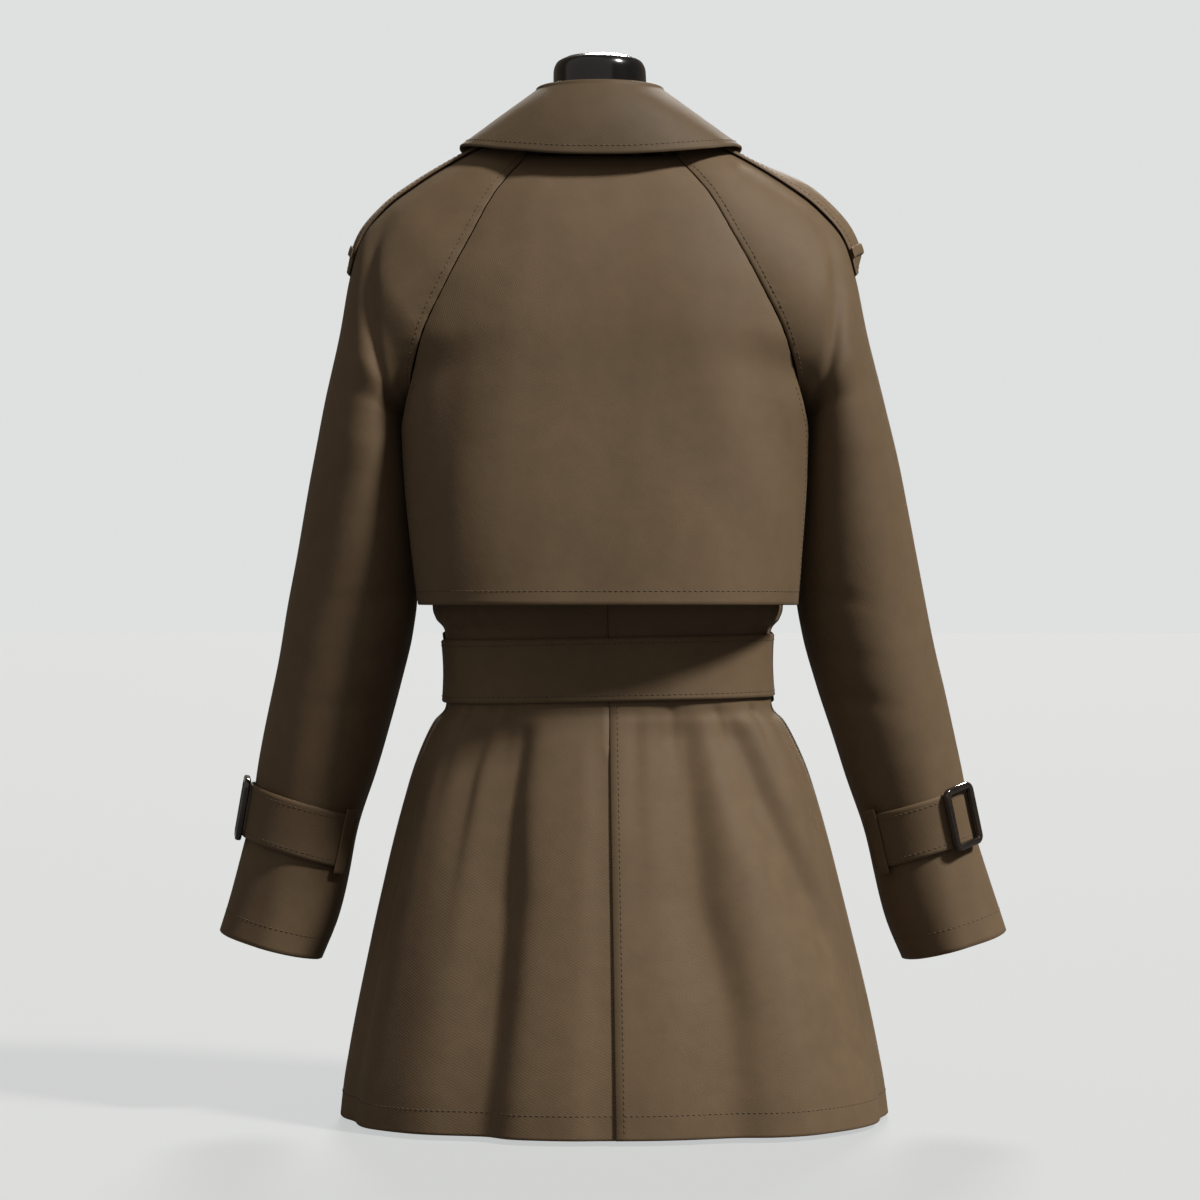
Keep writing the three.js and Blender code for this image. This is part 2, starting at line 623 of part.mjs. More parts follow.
// ---- cuff straps, their loops and buckles ----
const strapTop = UNDERARM + 9;
const strapEnd = UNDERARM + 10;
const strapLift = LAY_GAP + DOUBLE_CLOTH;
const STRAP_REACH = 0.86; // the strap starts near the front seam and stops short of the back one
const STRAP_START = -0.9;
{
  const inside = vector(240, -20, 230);
  const between = steps(1 - SLEEVE_COLUMNS, SLEEVE_COLUMNS - 1, 2 * SLEEVE_COLUMNS - 2);
  const w = [STRAP_START, ...between.map((k) => k / SLEEVE_COLUMNS), STRAP_REACH];
  const strap = sheet(sleeveRound, steps(strapTop, strapEnd, 2), w,
    { lift: strapLift, wall: DOUBLE_CLOTH, inside });
  const loop = sheet(sleeveRound, steps(strapTop - 0.12, strapEnd + 0.12, 2), [0.74, 0.78, 0.82],
    { lift: strapLift + SEAM_GAP + CLOTH, inside });
  const middleRow = (strapTop + strapEnd) / 2;
  for (const [side, mirror] of [["left", false], ["right", true]]) {
    const seatAt = CUFF_SEATS[side];
    const normal = normalAt(sleeveRound, middleRow, seatAt);
    const seat = sleeveRound(middleRow, seatAt);
    if (seat.clone().sub(inside).dot(normal) < 0) normal.negate();
    const along = sleeveRound(strapTop, seatAt).sub(sleeveRound(strapEnd, seatAt));
    seat.addScaledVector(normal, strapLift + 0.6);
    const buckle = place(buckleFrame(CUFF_BUCKLE), seat, normal, along);
    add(`cuff_strap_${side}`, "gabardine", strap, { mirror });
    add(`cuff_loop_${side}`, "gabardine", loop, { mirror });
    add(`cuff_buckle_${side}`, "buckle", buckle, { mirror });
  }
}

// ---- epaulettes along the top of each shoulder ----
{
  const inside = vector(120, 0, 600);
  const strap = (row, across) => {
    const depth = HEAD[across > 0 ? 4 : 6](row);
    const turn = HEAD[across > 0 ? 3 : 5](row);
    const half = mix(19, 27, clamp((row - 0.5) / 4, 0, 1));
    const w = Math.asin((Math.abs(across) * half) / depth) / radians(turn);
    return sleeveRound(row, Math.sign(across) * w);
  };
  for (const [side, mirror, height] of [["left", false, 1], ["right", true, 7.5]]) {
    const settle = (across) => 1 - 0.7 * smooth(across, 0, 1); // the back edge lies lower
    const rise = (row, across) => height * settle(across) * smooth(row, 1, 2.6) * smooth(row, 4.9, 4.4);
    const lift = (row, across) => LAY_GAP + DOUBLE_CLOTH + rise(row, across);
    const rows = [0.75, 1.4, 2, 2.6, 3.3, 4, 4.25, 4.5, 4.7, 4.9];
    const body = sheet(strap, rows, steps(-1, 1, 4), { lift, wall: DOUBLE_CLOTH, inside });
    const loop = sheet((row, across) => strap(row, across * 1.06), [4.25, 4.5], steps(-1, 1, 4),
      { lift: (row, across) => lift(row, across) + SEAM_GAP + CLOTH, inside });
    add(`epaulette_${side}`, "gabardine", body, { mirror });
    add(`epaulette_loop_${side}`, "gabardine", loop, { mirror });
  }
}

// ---- front buttons ----
{
  const profile = [
    [0, 0],
    [BUTTON_RADIUS - 1, 0],
    [BUTTON_RADIUS, 1],
    [BUTTON_RADIUS, BUTTON_DEPTH - 1],
    [BUTTON_RADIUS - 1, BUTTON_DEPTH],
    [BUTTON_RADIUS - 3, BUTTON_DEPTH - 0.9],
    [0, BUTTON_DEPTH - 0.9],
  ].map(([r, z]) => new THREE.Vector2(r, z));
  const button = new THREE.LatheGeometry(profile, 20).rotateX(Math.PI / 2);
  const names = ["top", "middle", "low"];
  BUTTON_ROWS.forEach((z, i) => {
    for (const [side, sign] of [["left", 1], ["right", -1]]) {
      const row = bodyRow(z);
      const s = shareAt(FRONT, row, sign * BUTTON_COLUMN);
      const normal = normalAt(front, row, s);
      const seat = front(row, s);
      if (normal.y > 0) normal.negate();
      seat.addScaledVector(normal, 0.6);
      add(`button_${names[i]}_${side}`, "button", place(button, seat, normal, vector(0, 0, 1)));
    }
  });
}

export default model;
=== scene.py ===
"""Belted trench coat on a limbless dress form.

Lengths are millimetres of the upright coat; meshes are written in metres, leaning as the coat does.
"""

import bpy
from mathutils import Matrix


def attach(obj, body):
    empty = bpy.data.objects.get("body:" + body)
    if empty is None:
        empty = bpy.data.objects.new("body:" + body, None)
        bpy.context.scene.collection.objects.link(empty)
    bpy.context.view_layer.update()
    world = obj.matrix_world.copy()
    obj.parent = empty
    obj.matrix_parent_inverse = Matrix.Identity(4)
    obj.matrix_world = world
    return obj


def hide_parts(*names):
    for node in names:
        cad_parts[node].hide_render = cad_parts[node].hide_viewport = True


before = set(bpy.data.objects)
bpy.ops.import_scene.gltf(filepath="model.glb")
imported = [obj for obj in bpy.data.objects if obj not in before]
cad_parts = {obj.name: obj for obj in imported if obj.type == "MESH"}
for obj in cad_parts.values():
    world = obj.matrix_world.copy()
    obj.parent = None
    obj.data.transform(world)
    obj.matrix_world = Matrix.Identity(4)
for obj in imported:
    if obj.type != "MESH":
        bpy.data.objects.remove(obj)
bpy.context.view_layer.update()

import math

import bmesh
import bpy
import numpy as np
from mathutils import Vector

# ------ sizes
CLOTH = 1.6
DOUBLE_CLOTH = 2.4
SEAM_GAP = 0.3
LAY_GAP = 0.8
UNDER = CLOTH + SEAM_GAP  # what the back lies under the shield
LAP = 3.8  # how far an underlap lies below the panel over it
AXIS_Y = -4  # the body's upright axis
ROUNDNESS_CHEST = 3.0
ROUNDNESS_SKIRT = 2.4
LEAN = 0.0147  # sideways shift for each unit of height
BELT_MIDDLE = 354.5
BELT_WIDTH = 46
BELT_TILT = 0.02
FRONT_EDGE = 78
TOP_BUTTON_Z = 512
LAPEL_SLANT = 0.56
BUTTON_COLUMN = 58
BUTTON_ROWS = (490, 425, 262)
BUTTON_RADIUS = 12
VENT_TOP = 300
VENT_UNDERLAP = 34
VENT_EASE = 60
VENT_STEP = LAP * 0.56
FOLDS_START = (332, 300)  # the heights between which the skirt's folds grow
ABOVE_BELT = 384
BELOW_BELT = 328
SQUARE_ROWS = (13, 20)  # the body rows between which the section gets rounder
BODY_INSIDE = (0, AXIS_Y, 320)
FORM_TOP = 837.5
FORM_ROUNDNESS = 2.2
FALL_END = 146  # degrees from the middle of the back to the collar's points
# each hand, and whether its pieces are mirrored from the wearer's left
HANDS = {"left": False, "right": True}

BACK_UPPER = [
    # zMid, zSeam, yMid, ySeam, xSeam
    [752, 753, 60, 50, 58], [724, 722, 76, 69, 83], [692, 689, 90, 80, 101], [656, 651, 101, 86, 121],
    [620, 613, 107.5, 84, 139], [588, 579, 111, 68, 149], [565, 560, 110, 40, 151],
]
FRONT_UPPER = [
    [736, 748, -60, -46, 60], [708, 716, -84, -67, 83], [675, 682, -104, -80, 101],
    [642, 647, -118, -87, 120], [611, 612, -125, -84, 137], [583, 580, -126, -68, 148],
    [563, 561, -125, -42, 151],
]
BODY = [
    # z, halfWidth, back, front
    [548, 151, 108, -123], [532, 146, 107, -121], [512, 143, 105.5, -117], [487, 141, 103, -112],
    [460, 139.5, 101, -107], [430, 139, 98.5, -102], [403, 138.5, 94, -98], [393, 135.5, 90, -95],
    [384, 129, 86.5, -92], [355, 127, 84.5, -90], [325, 129, 86, -92], [313, 138.5, 90, -96],
    [297, 147, 95, -101], [276, 155.5, 101, -106], [248, 164, 108.5, -111], [215, 173, 116, -117],
    [180, 181.5, 123, -123], [142, 190.5, 130.5, -129], [102, 199.5, 138, -136], [60, 208, 145, -141],
    [29, 213.5, 149, -144], [4, 216.5, 151, -146],
]
SLEEVE_HEAD = [
    # xTop, zTop, yTop, turnBack, depthBack, turnFront, depthFront
    [62, 780, 8, 60, 48.5, 60, 62], [108, 757, 5, 70, 68, 70, 77], [144, 736, 2, 76, 79, 76, 85],
    [171, 716, 0, 84, 86.5, 84, 87.5], [190, 693, -2, 97, 86.6, 97, 82.6],
    [200, 661, -3, 118, 80.4, 118, 73.6], [208.5, 617, -4, 147, 79, 147, 70],
    [220, 569, -4, 180, 73, 180, 68],
]
SLEEVE = [
    # xTop, zTop, xInner, zInner, yMid, depthBack, depthFront
    [220, 569, 151, 548, -4, 73, 68], [225.5, 545, 150, 523, -4, 72, 67],
    [232.5, 512, 148.5, 489, -6, 70, 66], [239.5, 475, 148, 452, -8, 68, 64],
    [246.5, 437, 149.5, 414, -10, 65, 62], [253.5, 402, 154.5, 380, -12, 62, 60],
    [260.5, 366, 164.5, 342, -14, 60, 58], [268, 332, 175, 307, -16, 58, 56],
    [275.5, 298, 185.5, 272, -18, 55, 53], [283, 263, 197, 237, -20, 51, 50],
    [291.5, 221, 207, 195, -22, 49, 48], [303, 179, 217.5, 155, -24, 50, 49],
    [313.5, 145, 231, 122, -25, 50, 49],
]
SHIELD_LOWER = [
    # zMid, zEdge, yMid, yEdge, xEdge
    [566, 556, 113.5, 62, 155], [546, 537, 116, 54, 158], [510, 504, 120.5, 51, 157],
    [472, 468, 125, 50, 154.5], [436, 433, 128.5, 49, 151], [404, 404, 131, 48, 147],
]
FORM = [
    # z, halfWidth, back, front
    [0, 128, 92, -92], [60, 139, 104, -102], [130, 147, 111, -108], [190, 146, 107, -104],
    [250, 136, 95, -93], [310, 120, 83, -81], [355, 113, 79, -77], [400, 118, 82, -82], [460, 126, 88, -92],
    [520, 131, 91, -102], [560, 134, 92, -104], [600, 137, 91, -101], [640, 141, 87, -92],
    [675, 145, 79, -80], [700, 143, 69, -68], [718, 132, 60, -58], [732, 112, 53, -52], [744, 84, 48, -47],
    [754, 55, 42, -40], [766, 45, 41, -42], [785, 38.5, 39, -40], [805, 37, 38, -39],
    [825, 36.5, 37.5, -38.5], [832, 34, 35, -36], [836, 27, 28, -29],
]
LAPEL_WIDTHS = [
    # z, width
    [512, 2], [540, 18], [575, 36], [610, 52], [645, 64], [672, 72], [690, 70], [706, 50], [722, 30],
    [740, 14],
]
# Skirt folds: angle from the middle of the back (the wearer's left is plus), half angles on the side of
# smaller and of larger angles, and depth. Angles and depths are given at each of FOLD_HEIGHTS. A fold that
# is narrow on one side is a step in the cloth.
FOLD_HEIGHTS = [4, 105, 180, 255, 325]
SKIRT_FOLDS = [
    ([41, 41, 41, 41, 41], 3.0, 6.0, [0, 0, 1.5, 4.5, 4.5]),
    ([24.6, 23.5, 23.3, 25.2, 25], 5.0, 13.0, [11, 13, 14, 11, 7]),
    ([-21.2, -21.7, -17.9, -18.3, -19.3], 5.5, 11.0, [7, 9, 10, 9, 6]),
    ([-68, -66, -55.5, -44.5, -37], 6.5, 13.0, [1, 3, 9, 10, 6]),
    ([-78, -76, -75, -73, -71], 6.0, 6.0, [5, 4, 3, 2, 1]),
    ([72, 72, 71, 70, 70], 6.0, 6.0, [5, 5, 4, 3, 1]),
    ([-4.3, -4.3, -4.4, -4.6, -5.5], 1.8, 1.8, [0, 0, 0.3, 1.0, 1.8]),
    ([132, 131, 130, 129, 128], 7.0, 7.0, [8, 8, 7, 4, 1.5]),
    ([-134, -133, -132, -131, -130], 7.0, 7.0, [8, 8, 7, 4, 1.5]),
    ([154, 154, 154, 155, 156], 6.0, 6.0, [5, 5, 4, 2.5, 1]),
    ([-108, -108, -107, -106, -106], 6.0, 6.0, [5, 5, 4, 3, 1]),
    ([106, 106, 107, 107, 108], 6.0, 6.0, [4, 4, 4, 3, 1]),
    # ridges between them
    ([7, 7, 7, 6, 5], 7.0, 7.0, [-1.5, -1.5, -1.5, -1, 0]),
    ([-38, -37, -33, -30, -28], 6.5, 6.5, [-2, -2, -2, -2, -1]),
    ([58, 58, 58, 58, 58], 6.0, 6.0, [-2, -2, -2, -1.5, 0]),
]
# Small gathers just above and below the belt: angle, half angle, depth, reach in mm.
GATHERS_ABOVE = [
    (44, 4.0, 3.5, 26), (29, 3.0, 2.4, 22), (9, 3.0, 1.2, 16), (-12, 3.0, 1.2, 18), (-38, 4.0, 3.2, 26),
    (-57, 3.5, 2.0, 20), (60, 3.5, 2.0, 20), (95, 4.0, 2.0, 26), (-95, 4.0, 2.0, 26), (128, 4.0, 2.5, 26),
    (-126, 4.0, 2.5, 26), (150, 3.5, 2.0, 20), (-150, 3.5, 2.0, 20),
]
GATHERS_BELOW = [
    (53, 2.6, 2.0, 40), (38, 2.2, 1.6, 34), (30, 1.8, 1.2, 26), (-16, 1.8, 1.2, 30), (-34, 2.2, 1.4, 26),
    (-55, 2.6, 2.0, 40), (80, 3.0, 2.0, 36), (-82, 3.0, 2.0, 36), (118, 3.0, 2.0, 36), (-118, 3.0, 2.0, 36),
    (143, 3.0, 1.8, 36), (-145, 3.0, 1.8, 36), (165, 3.0, 1.6, 30), (-166, 3.0, 1.6, 30),
]


# ------ small maths
span = np.linspace


def smooth(x, start, end):
    """0 before start, 1 past end, and an easy S between them."""
    t = np.clip((np.asarray(x, float) - start) / (end - start), 0, 1)
    return t * t * (3 - 2 * t)


def mix(a, b, t):
    return a + (b - a) * t


def hump(x, width):
    return np.exp(-((x / width) ** 2))


def both(u, v):
    return np.broadcast_arrays(np.asarray(u, float), np.asarray(v, float))


def power(x, e):
    return np.sign(x) * np.abs(x) ** e


def points_of(x, y, z):
    return np.stack(np.broadcast_arrays(x, y, z), axis=-1).astype(float)


def wander(x, seed):
    """A smooth wavering between -1 and 1."""
    x = np.asarray(x, float)
    total = 0
    for k, rate in enumerate((1.0, 2.17, 3.71)):
        total = total + np.sin(rate * x + 1.7 * seed + 2.3 * k) / (1.4 + k)
    return total / 1.6


class Table:
    """Smooth curves through the columns of a table, read at a fractional row, that never overshoot."""

    def __init__(self, rows):
        self.y = np.array(rows, float)
        self.rise = np.diff(self.y, axis=0)
        self.slope = np.empty_like(self.y)
        self.slope[0], self.slope[-1] = self.rise[0], self.rise[-1]
        before, after = self.rise[:-1], self.rise[1:]
        same = before * after > 0
        total = np.where(same, before + after, 1)
        self.slope[1:-1] = np.where(same, 2 * before * after / total, 0)

    def __call__(self, row):
        row = np.asarray(row, float)
        i = np.clip(np.floor(row).astype(int), 0, len(self.y) - 2)
        t = (row - i)[..., None]
        value = (
            self.y[i]
            + t * t * (3 - 2 * t) * self.rise[i]
            + t * (1 - t) * (1 - t) * self.slope[i]
            + t * t * (t - 1) * self.slope[i + 1]
        )
        return np.moveaxis(value, -1, 0)


def ring_rows(side):
    return [[z, z, back if side == "back" else front, AXIS_Y, half] for z, half, back, front in BODY]


UNDERARM = len(BACK_UPPER)
BACK = Table(BACK_UPPER + ring_rows("back"))
FRONT = Table(FRONT_UPPER + ring_rows("front"))
LAST_ROW = UNDERARM + len(BODY) - 1
SHIELD = Table(BACK_UPPER[:6] + SHIELD_LOWER)
SHIELD_END = 5 + len(SHIELD_LOWER)
HEAD = Table(SLEEVE_HEAD)
TUBE = Table(SLEEVE)
SLEEVE_END = UNDERARM + len(SLEEVE) - 1
BODY_Z = np.array([row[0] for row in BODY], float)


def body_row(z):
    """Row of the body table at a height below the underarm."""
    return UNDERARM + np.interp(-np.asarray(z, float), -BODY_Z, np.arange(len(BODY_Z)))


# ------ surfaces
def fold_push(angle, z):
    """How far the folds and the belt's gathers move the cloth outwards, in mm."""
    total = np.zeros(np.broadcast(angle, z).shape)
    for places, below, above, depths in SKIRT_FOLDS:
        middle = np.interp(z, FOLD_HEIGHTS, places)
        half = np.where(angle < middle, below, above)
        depth = np.interp(z, FOLD_HEIGHTS, depths)
        total -= depth * hump(angle - middle, half)
    total *= smooth(z, *FOLDS_START)
    above = smooth(z, ABOVE_BELT - 3, ABOVE_BELT + 4)
    for middle, half, depth, reach in GATHERS_ABOVE:
        fade = above * smooth(z, ABOVE_BELT + 2.2 * reach, ABOVE_BELT)
        total -= fade * depth * hump(angle - middle, half)
    below = smooth(z, BELOW_BELT + 2, BELOW_BELT - 6)
    for middle, half, depth, reach in GATHERS_BELOW:
        fade = below * smooth(z, BELOW_BELT - 2.4 * reach, BELOW_BELT)
        total -= fade * depth * hump(angle - middle, half)
    return total


def squareness(row):
    """Exponent of the section's sines and cosines: the chest is squarer than the skirt."""
    return 2 / mix(ROUNDNESS_CHEST, ROUNDNESS_SKIRT, smooth(row, *SQUARE_ROWS))


def section(table, row):
    """A row of the body: its middle and seam, with the section's exponent, seam angle and half width."""
    z_mid, z_seam, y_mid, y_seam, x_seam = table(row)
    e = squareness(row)
    seam_angle = np.arccos(np.clip((y_seam - AXIS_Y) / (y_mid - AXIS_Y), 0, 1) ** (1 / e))
    return z_mid, z_seam, y_mid, e, seam_angle, x_seam / np.sin(seam_angle) ** e


def torso(table, row, s, folds=True):
    """A point of the body: s runs from -1 at the wearer's right seam to +1 at the left one."""
    z_mid, z_seam, y_mid, e, seam_angle, half = section(table, row)
    angle = seam_angle * s
    z = mix(z_mid, z_seam, s * s)
    back = y_mid > 0
    degrees = np.degrees(angle)
    push = fold_push(np.where(back, degrees, np.where(s < 0, -1, 1) * 180 - degrees), z) if folds else 0
    return points_of(
        half * power(np.sin(angle), e) + push * np.sin(angle),
        AXIS_Y + (y_mid - AXIS_Y) * power(np.cos(angle), e) + push * np.cos(angle) * np.where(back, 1, -1),
        z,
    )


def back(row, s):
    return torso(BACK, row, s)


def front(row, s):
    return torso(FRONT, row, s)


def shield(row, s):
    return torso(SHIELD, row, s, folds=False)


def sleeve(side, row, t):
    """A point of the wearer's left sleeve: t is 0 on its top line and 1 on its seam or inner line."""
    row, t = both(row, t)
    sign = 1 if side == "back" else -1
    head_row = np.minimum(row, UNDERARM)
    x_top, z_top, y_top, turn_b, depth_b, turn_f, depth_f = HEAD(head_row)
    turn = np.radians(turn_b if side == "back" else turn_f)
    depth = depth_b if side == "back" else depth_f
    seam = torso(BACK if side == "back" else FRONT, head_row, 1.0, folds=False)
    along = (1 - np.cos(turn * t)) / (1 - np.cos(turn))
    miss = seam[..., 1] - y_top - sign * depth * np.sin(turn)
    upper = points_of(
        mix(x_top, seam[..., 0], along),
        y_top + sign * depth * np.sin(turn * t) + miss * t * t,
        mix(z_top, seam[..., 2], along),
    )
    x_top, z_top, x_in, z_in, y_mid, depth_b, depth_f = TUBE(np.maximum(row, UNDERARM) - UNDERARM)
    depth = depth_b if side == "back" else depth_f
    along = (1 - np.cos(math.pi * t)) / 2
    lower = points_of(
        mix(x_top, x_in, along), y_mid + sign * depth * np.sin(math.pi * t), mix(z_top, z_in, along)
    )
    return np.where((row < UNDERARM)[..., None], upper, lower)


def sleeve_round(row, w):
    """The whole way round the sleeve: w is 0 on top, +1 at the back seam, -1 at the front seam."""
    w = np.asarray(w, float)
    sides = [sleeve(side, row, np.abs(w)) for side in ("back", "front")]
    return np.where((w >= 0)[..., None], *sides)


def share_at(table, row, x):
    """The share of the way to the seam at which a row of the body lies x from the middle."""
    _, _, _, e, seam_angle, half = section(table, row)
    return np.sign(x) * np.arcsin(np.clip(np.abs(x) / half, 0, 1) ** (1 / e)) / seam_angle


def around(row, degrees):
    """Once round the body: 0 at the middle of the back, 180 at the middle of the front."""
    wrapped = (np.asarray(degrees, float) + 180) % 360 - 180
    behind = torso(BACK, row, wrapped / 90, folds=False)
    ahead = torso(FRONT, row, np.sign(wrapped) * (180 - np.abs(wrapped)) / 90, folds=False)
    return np.where((np.abs(wrapped) <= 90)[..., None], behind, ahead)


def normals_of(surface, u, v):
    """Unit normals of a surface at arrays of places."""
    step = 0.002
    du = surface(u + step, v) - surface(u - step, v)
    dv = surface(u, v + step) - surface(u, v - step)
    n = np.cross(du, dv)
    return n / np.maximum(np.linalg.norm(n, axis=-1, keepdims=True), 1e-9)


def outward(points, normals, inside):
    """+1 or -1: what turns the normals away from a point on the hollow side, judged at the middle."""
    middle = tuple(k // 2 for k in normals.shape[:-1])
    return 1 if (points[middle] - np.array(inside, float)) @ normals[middle] > 0 else -1


# ------ meshes
MM = 0.001


def placed(points, mirror=False):
    """Millimetres of the upright coat to metres of the leaning one."""
    p = np.array(points, float)
    if mirror:
        p[..., 0] *= -1
    p[..., 0] += LEAN * p[..., 2]
    return p * MM


def add_object(name, data):
    thing = bpy.data.objects.new(name, data)
    bpy.context.scene.collection.objects.link(thing)
    return thing


def new_object(name, vertices, faces, uv=None, material=None, slot="gabardine", sharp=None):
    mesh = bpy.data.meshes.new(name)
    mesh.from_pydata([tuple(v) for v in vertices], [], [tuple(f) for f in faces])
    if uv is not None:
        layer = mesh.uv_layers.new(name="UVMap")
        loops = np.zeros(len(mesh.loops), np.int32)
        mesh.loops.foreach_get("vertex_index", loops)
        layer.data.foreach_set("uv", np.asarray(uv, np.float32)[loops].ravel())
    bm = bmesh.new()
    bm.from_mesh(mesh)
    bmesh.ops.recalc_face_normals(bm, faces=bm.faces)
    for face in bm.faces:
        face.smooth = True
    if sharp is not None:
        for edge in bm.edges:
            if len(edge.link_faces) == 2 and edge.calc_face_angle() > math.radians(sharp):
                edge.smooth = False
    bm.to_mesh(mesh)
    bm.free()
    piece = add_object(name, mesh)
    mesh.materials.append(material or MATERIALS[slot])
    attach(piece, "root")
    return piece


class Panel:
    """A stretch of cloth: the surface it follows, how far its outer face stands off it, and its relief."""

    def __init__(self, surface, lift=0.0, inside=BODY_INSIDE, relief=None, mirror=False):
        self.surface, self.lift, self.inside = surface, lift, inside
        self.relief, self.mirror, self.out = relief, mirror, None

    def skin(self, u, v):
        """Points of the outer face and its normals, for arrays of grid places."""
        u, v = both(u, v)
        p = self.surface(u, v)
        n = normals_of(self.surface, u, v)
        if self.out is None:
            self.out = outward(p, n, self.inside)
        n = n * self.out
        height = self.lift(u, v) if callable(self.lift) else self.lift
        if self.relief is not None:
            height = height + self.relief(u, v, p)
        return p + n * np.broadcast_to(height, u.shape)[..., None], n


def edge_in(p, distance):
    """Draws the border of a grid of points inwards along the surface."""
    moved = p.copy()

    def toward(a, b):
        d = b - a
        return distance * d / np.maximum(np.linalg.norm(d, axis=-1, keepdims=True), 1e-9)

    moved[0] += toward(p[0], p[1])
    moved[-1] += toward(p[-1], p[-2])
    moved[:, 0] += toward(p[:, 0], p[:, 1])
    moved[:, -1] += toward(p[:, -1], p[:, -2])
    return moved


EDGE_ROUND = 0.45  # share of the wall by which its two faces stop short of the edge
CLOTH_SHARP = 62


def cloth(name, panel, us, vs, wall=CLOTH, slit=SEAM_GAP / 2, replaces=(), material=None):
    """A shell of cloth over a grid of a panel, with rounded edges."""
    u, v = np.meshgrid(np.asarray(us, float), np.asarray(vs, float), indexing="ij")
    outer, n = panel.skin(u, v)
    spread = edge_in(outer, slit)
    outer = edge_in(outer, slit + EDGE_ROUND * wall)
    inner = outer - n * wall
    middle = spread - n * (wall / 2)
    rows, width = outer.shape[:2]
    count = rows * width
    border = (
        [(0, j) for j in range(width)]
        + [(i, width - 1) for i in range(1, rows)]
        + [(rows - 1, j) for j in range(width - 2, -1, -1)]
        + [(i, 0) for i in range(rows - 2, 0, -1)]
    )
    vertices = np.concatenate(
        [outer.reshape(-1, 3), inner.reshape(-1, 3), np.array([middle[k] for k in border])]
    )
    index = np.arange(count).reshape(rows, width)
    top = np.stack([index[:-1, :-1], index[:-1, 1:], index[1:, 1:], index[1:, :-1]], -1).reshape(-1, 4)
    faces = [*top, *(top[:, ::-1] + count)]
    flat = [i * width + j for i, j in border]
    for k in range(len(border)):
        a, b = flat[k], flat[(k + 1) % len(border)]
        ma, mb = 2 * count + k, 2 * count + (k + 1) % len(border)
        faces.append((b, a, ma, mb))
        faces.append((mb, ma, a + count, b + count))
    across = np.linalg.norm(np.diff(outer[rows // 2], axis=0), axis=-1)
    down = np.linalg.norm(np.diff(outer[:, width // 2], axis=0), axis=-1)
    lengths = [np.concatenate([[0], np.cumsum(steps)]) * MM for steps in (across, down)]
    grid_uv = np.stack(np.meshgrid(*lengths), -1).reshape(-1, 2)
    uv = np.concatenate([grid_uv, grid_uv, grid_uv[flat]])
    piece = new_object(name, placed(vertices, panel.mirror), faces, uv, material, sharp=CLOTH_SHARP)
    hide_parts(*replaces)
    return piece


# ------ stitching
STITCH_LENGTH = 3.1
STITCH_PITCH = 4.3
STITCH_RADIUS = 0.34
STITCH_RISE = 0.12
STITCH_SINK = 0.15
STITCH_SIDES = 6


def beside(panel, us, vs, distance, direction):
    """The line at a distance in mm from an edge; direction is "u" or "v", signed by the way in."""
    u, v = both(us, vs)
    step, sign = 0.01, -1 if distance < 0 else 1
    du, dv = (sign * step, 0) if direction == "u" else (0, sign * step)
    rate = np.linalg.norm(panel.surface(u + du, v + dv) - panel.surface(u, v), axis=-1) / step
    shift = distance / np.maximum(rate, 1e-6)
    return (u + shift, v) if direction == "u" else (u, v + shift)


def stitches(name, panel, lines, slot="gabardine"):
    """Rows of short raised stitches along lines of a panel, as one mesh."""
    vertices, faces = [], []
    angles = span(0, 2 * math.pi, STITCH_SIDES, endpoint=False)
    for u, v in lines:
        p, n = panel.skin(u, v)
        length = np.concatenate([[0], np.cumsum(np.linalg.norm(np.diff(p, axis=0), axis=-1))])
        centres = np.arange(STITCH_PITCH, length[-1] - STITCH_PITCH, STITCH_PITCH)

        def at(where, values):
            return np.stack([np.interp(where, length, values[:, k]) for k in range(3)], -1)

        middle, normal = at(centres, p), at(centres, n)
        along = at(centres + 1, p) - at(centres - 1, p)
        along /= np.linalg.norm(along, axis=-1, keepdims=True)
        normal /= np.linalg.norm(normal, axis=-1, keepdims=True)
        side = np.cross(normal, along)
        for c, t, up, b in zip(middle, along, normal, side):
            start = len(vertices)
            vertices.append(c - t * STITCH_LENGTH / 2 - up * STITCH_SINK)
            for place in (-0.3, 0.3):
                centre = c + t * STITCH_LENGTH * place + up * STITCH_RISE
                vertices += [
                    centre + STITCH_RADIUS * (math.cos(a) * b + math.sin(a) * up) for a in angles
                ]
            vertices.append(c + t * STITCH_LENGTH / 2 - up * STITCH_SINK)
            last = start + 2 * STITCH_SIDES + 1
            for k in range(STITCH_SIDES):
                a, b2 = start + 1 + k, start + 1 + (k + 1) % STITCH_SIDES
                c2, d = a + STITCH_SIDES, b2 + STITCH_SIDES
                faces += [(start, b2, a), (a, b2, d, c2), (c2, d, last)]
    return new_object(name, placed(vertices, panel.mirror), faces, material=THREAD_PAINTED_SHADE, slot=slot)


# ------ materials
def tree_of(name):
    """A new material's node tree."""
    material = bpy.data.materials.new(name)
    material.use_nodes = True
    return material, material.node_tree


def fill_in(node, values):
    """Fills sockets by name or number: an output is linked, anything else is set on the socket."""
    for name, value in values.items():
        if isinstance(value, bpy.types.NodeSocket):
            node.id_data.links.new(value, node.inputs[name])
        else:
            node.inputs[name].default_value = value
    return node


def noise(tree, scale, detail=2.0, roughness=0.5, **more):
    values = {"Scale": scale, "Detail": detail, "Roughness": roughness, **more}
    return fill_in(tree.nodes.new("ShaderNodeTexNoise"), values).outputs["Fac"]


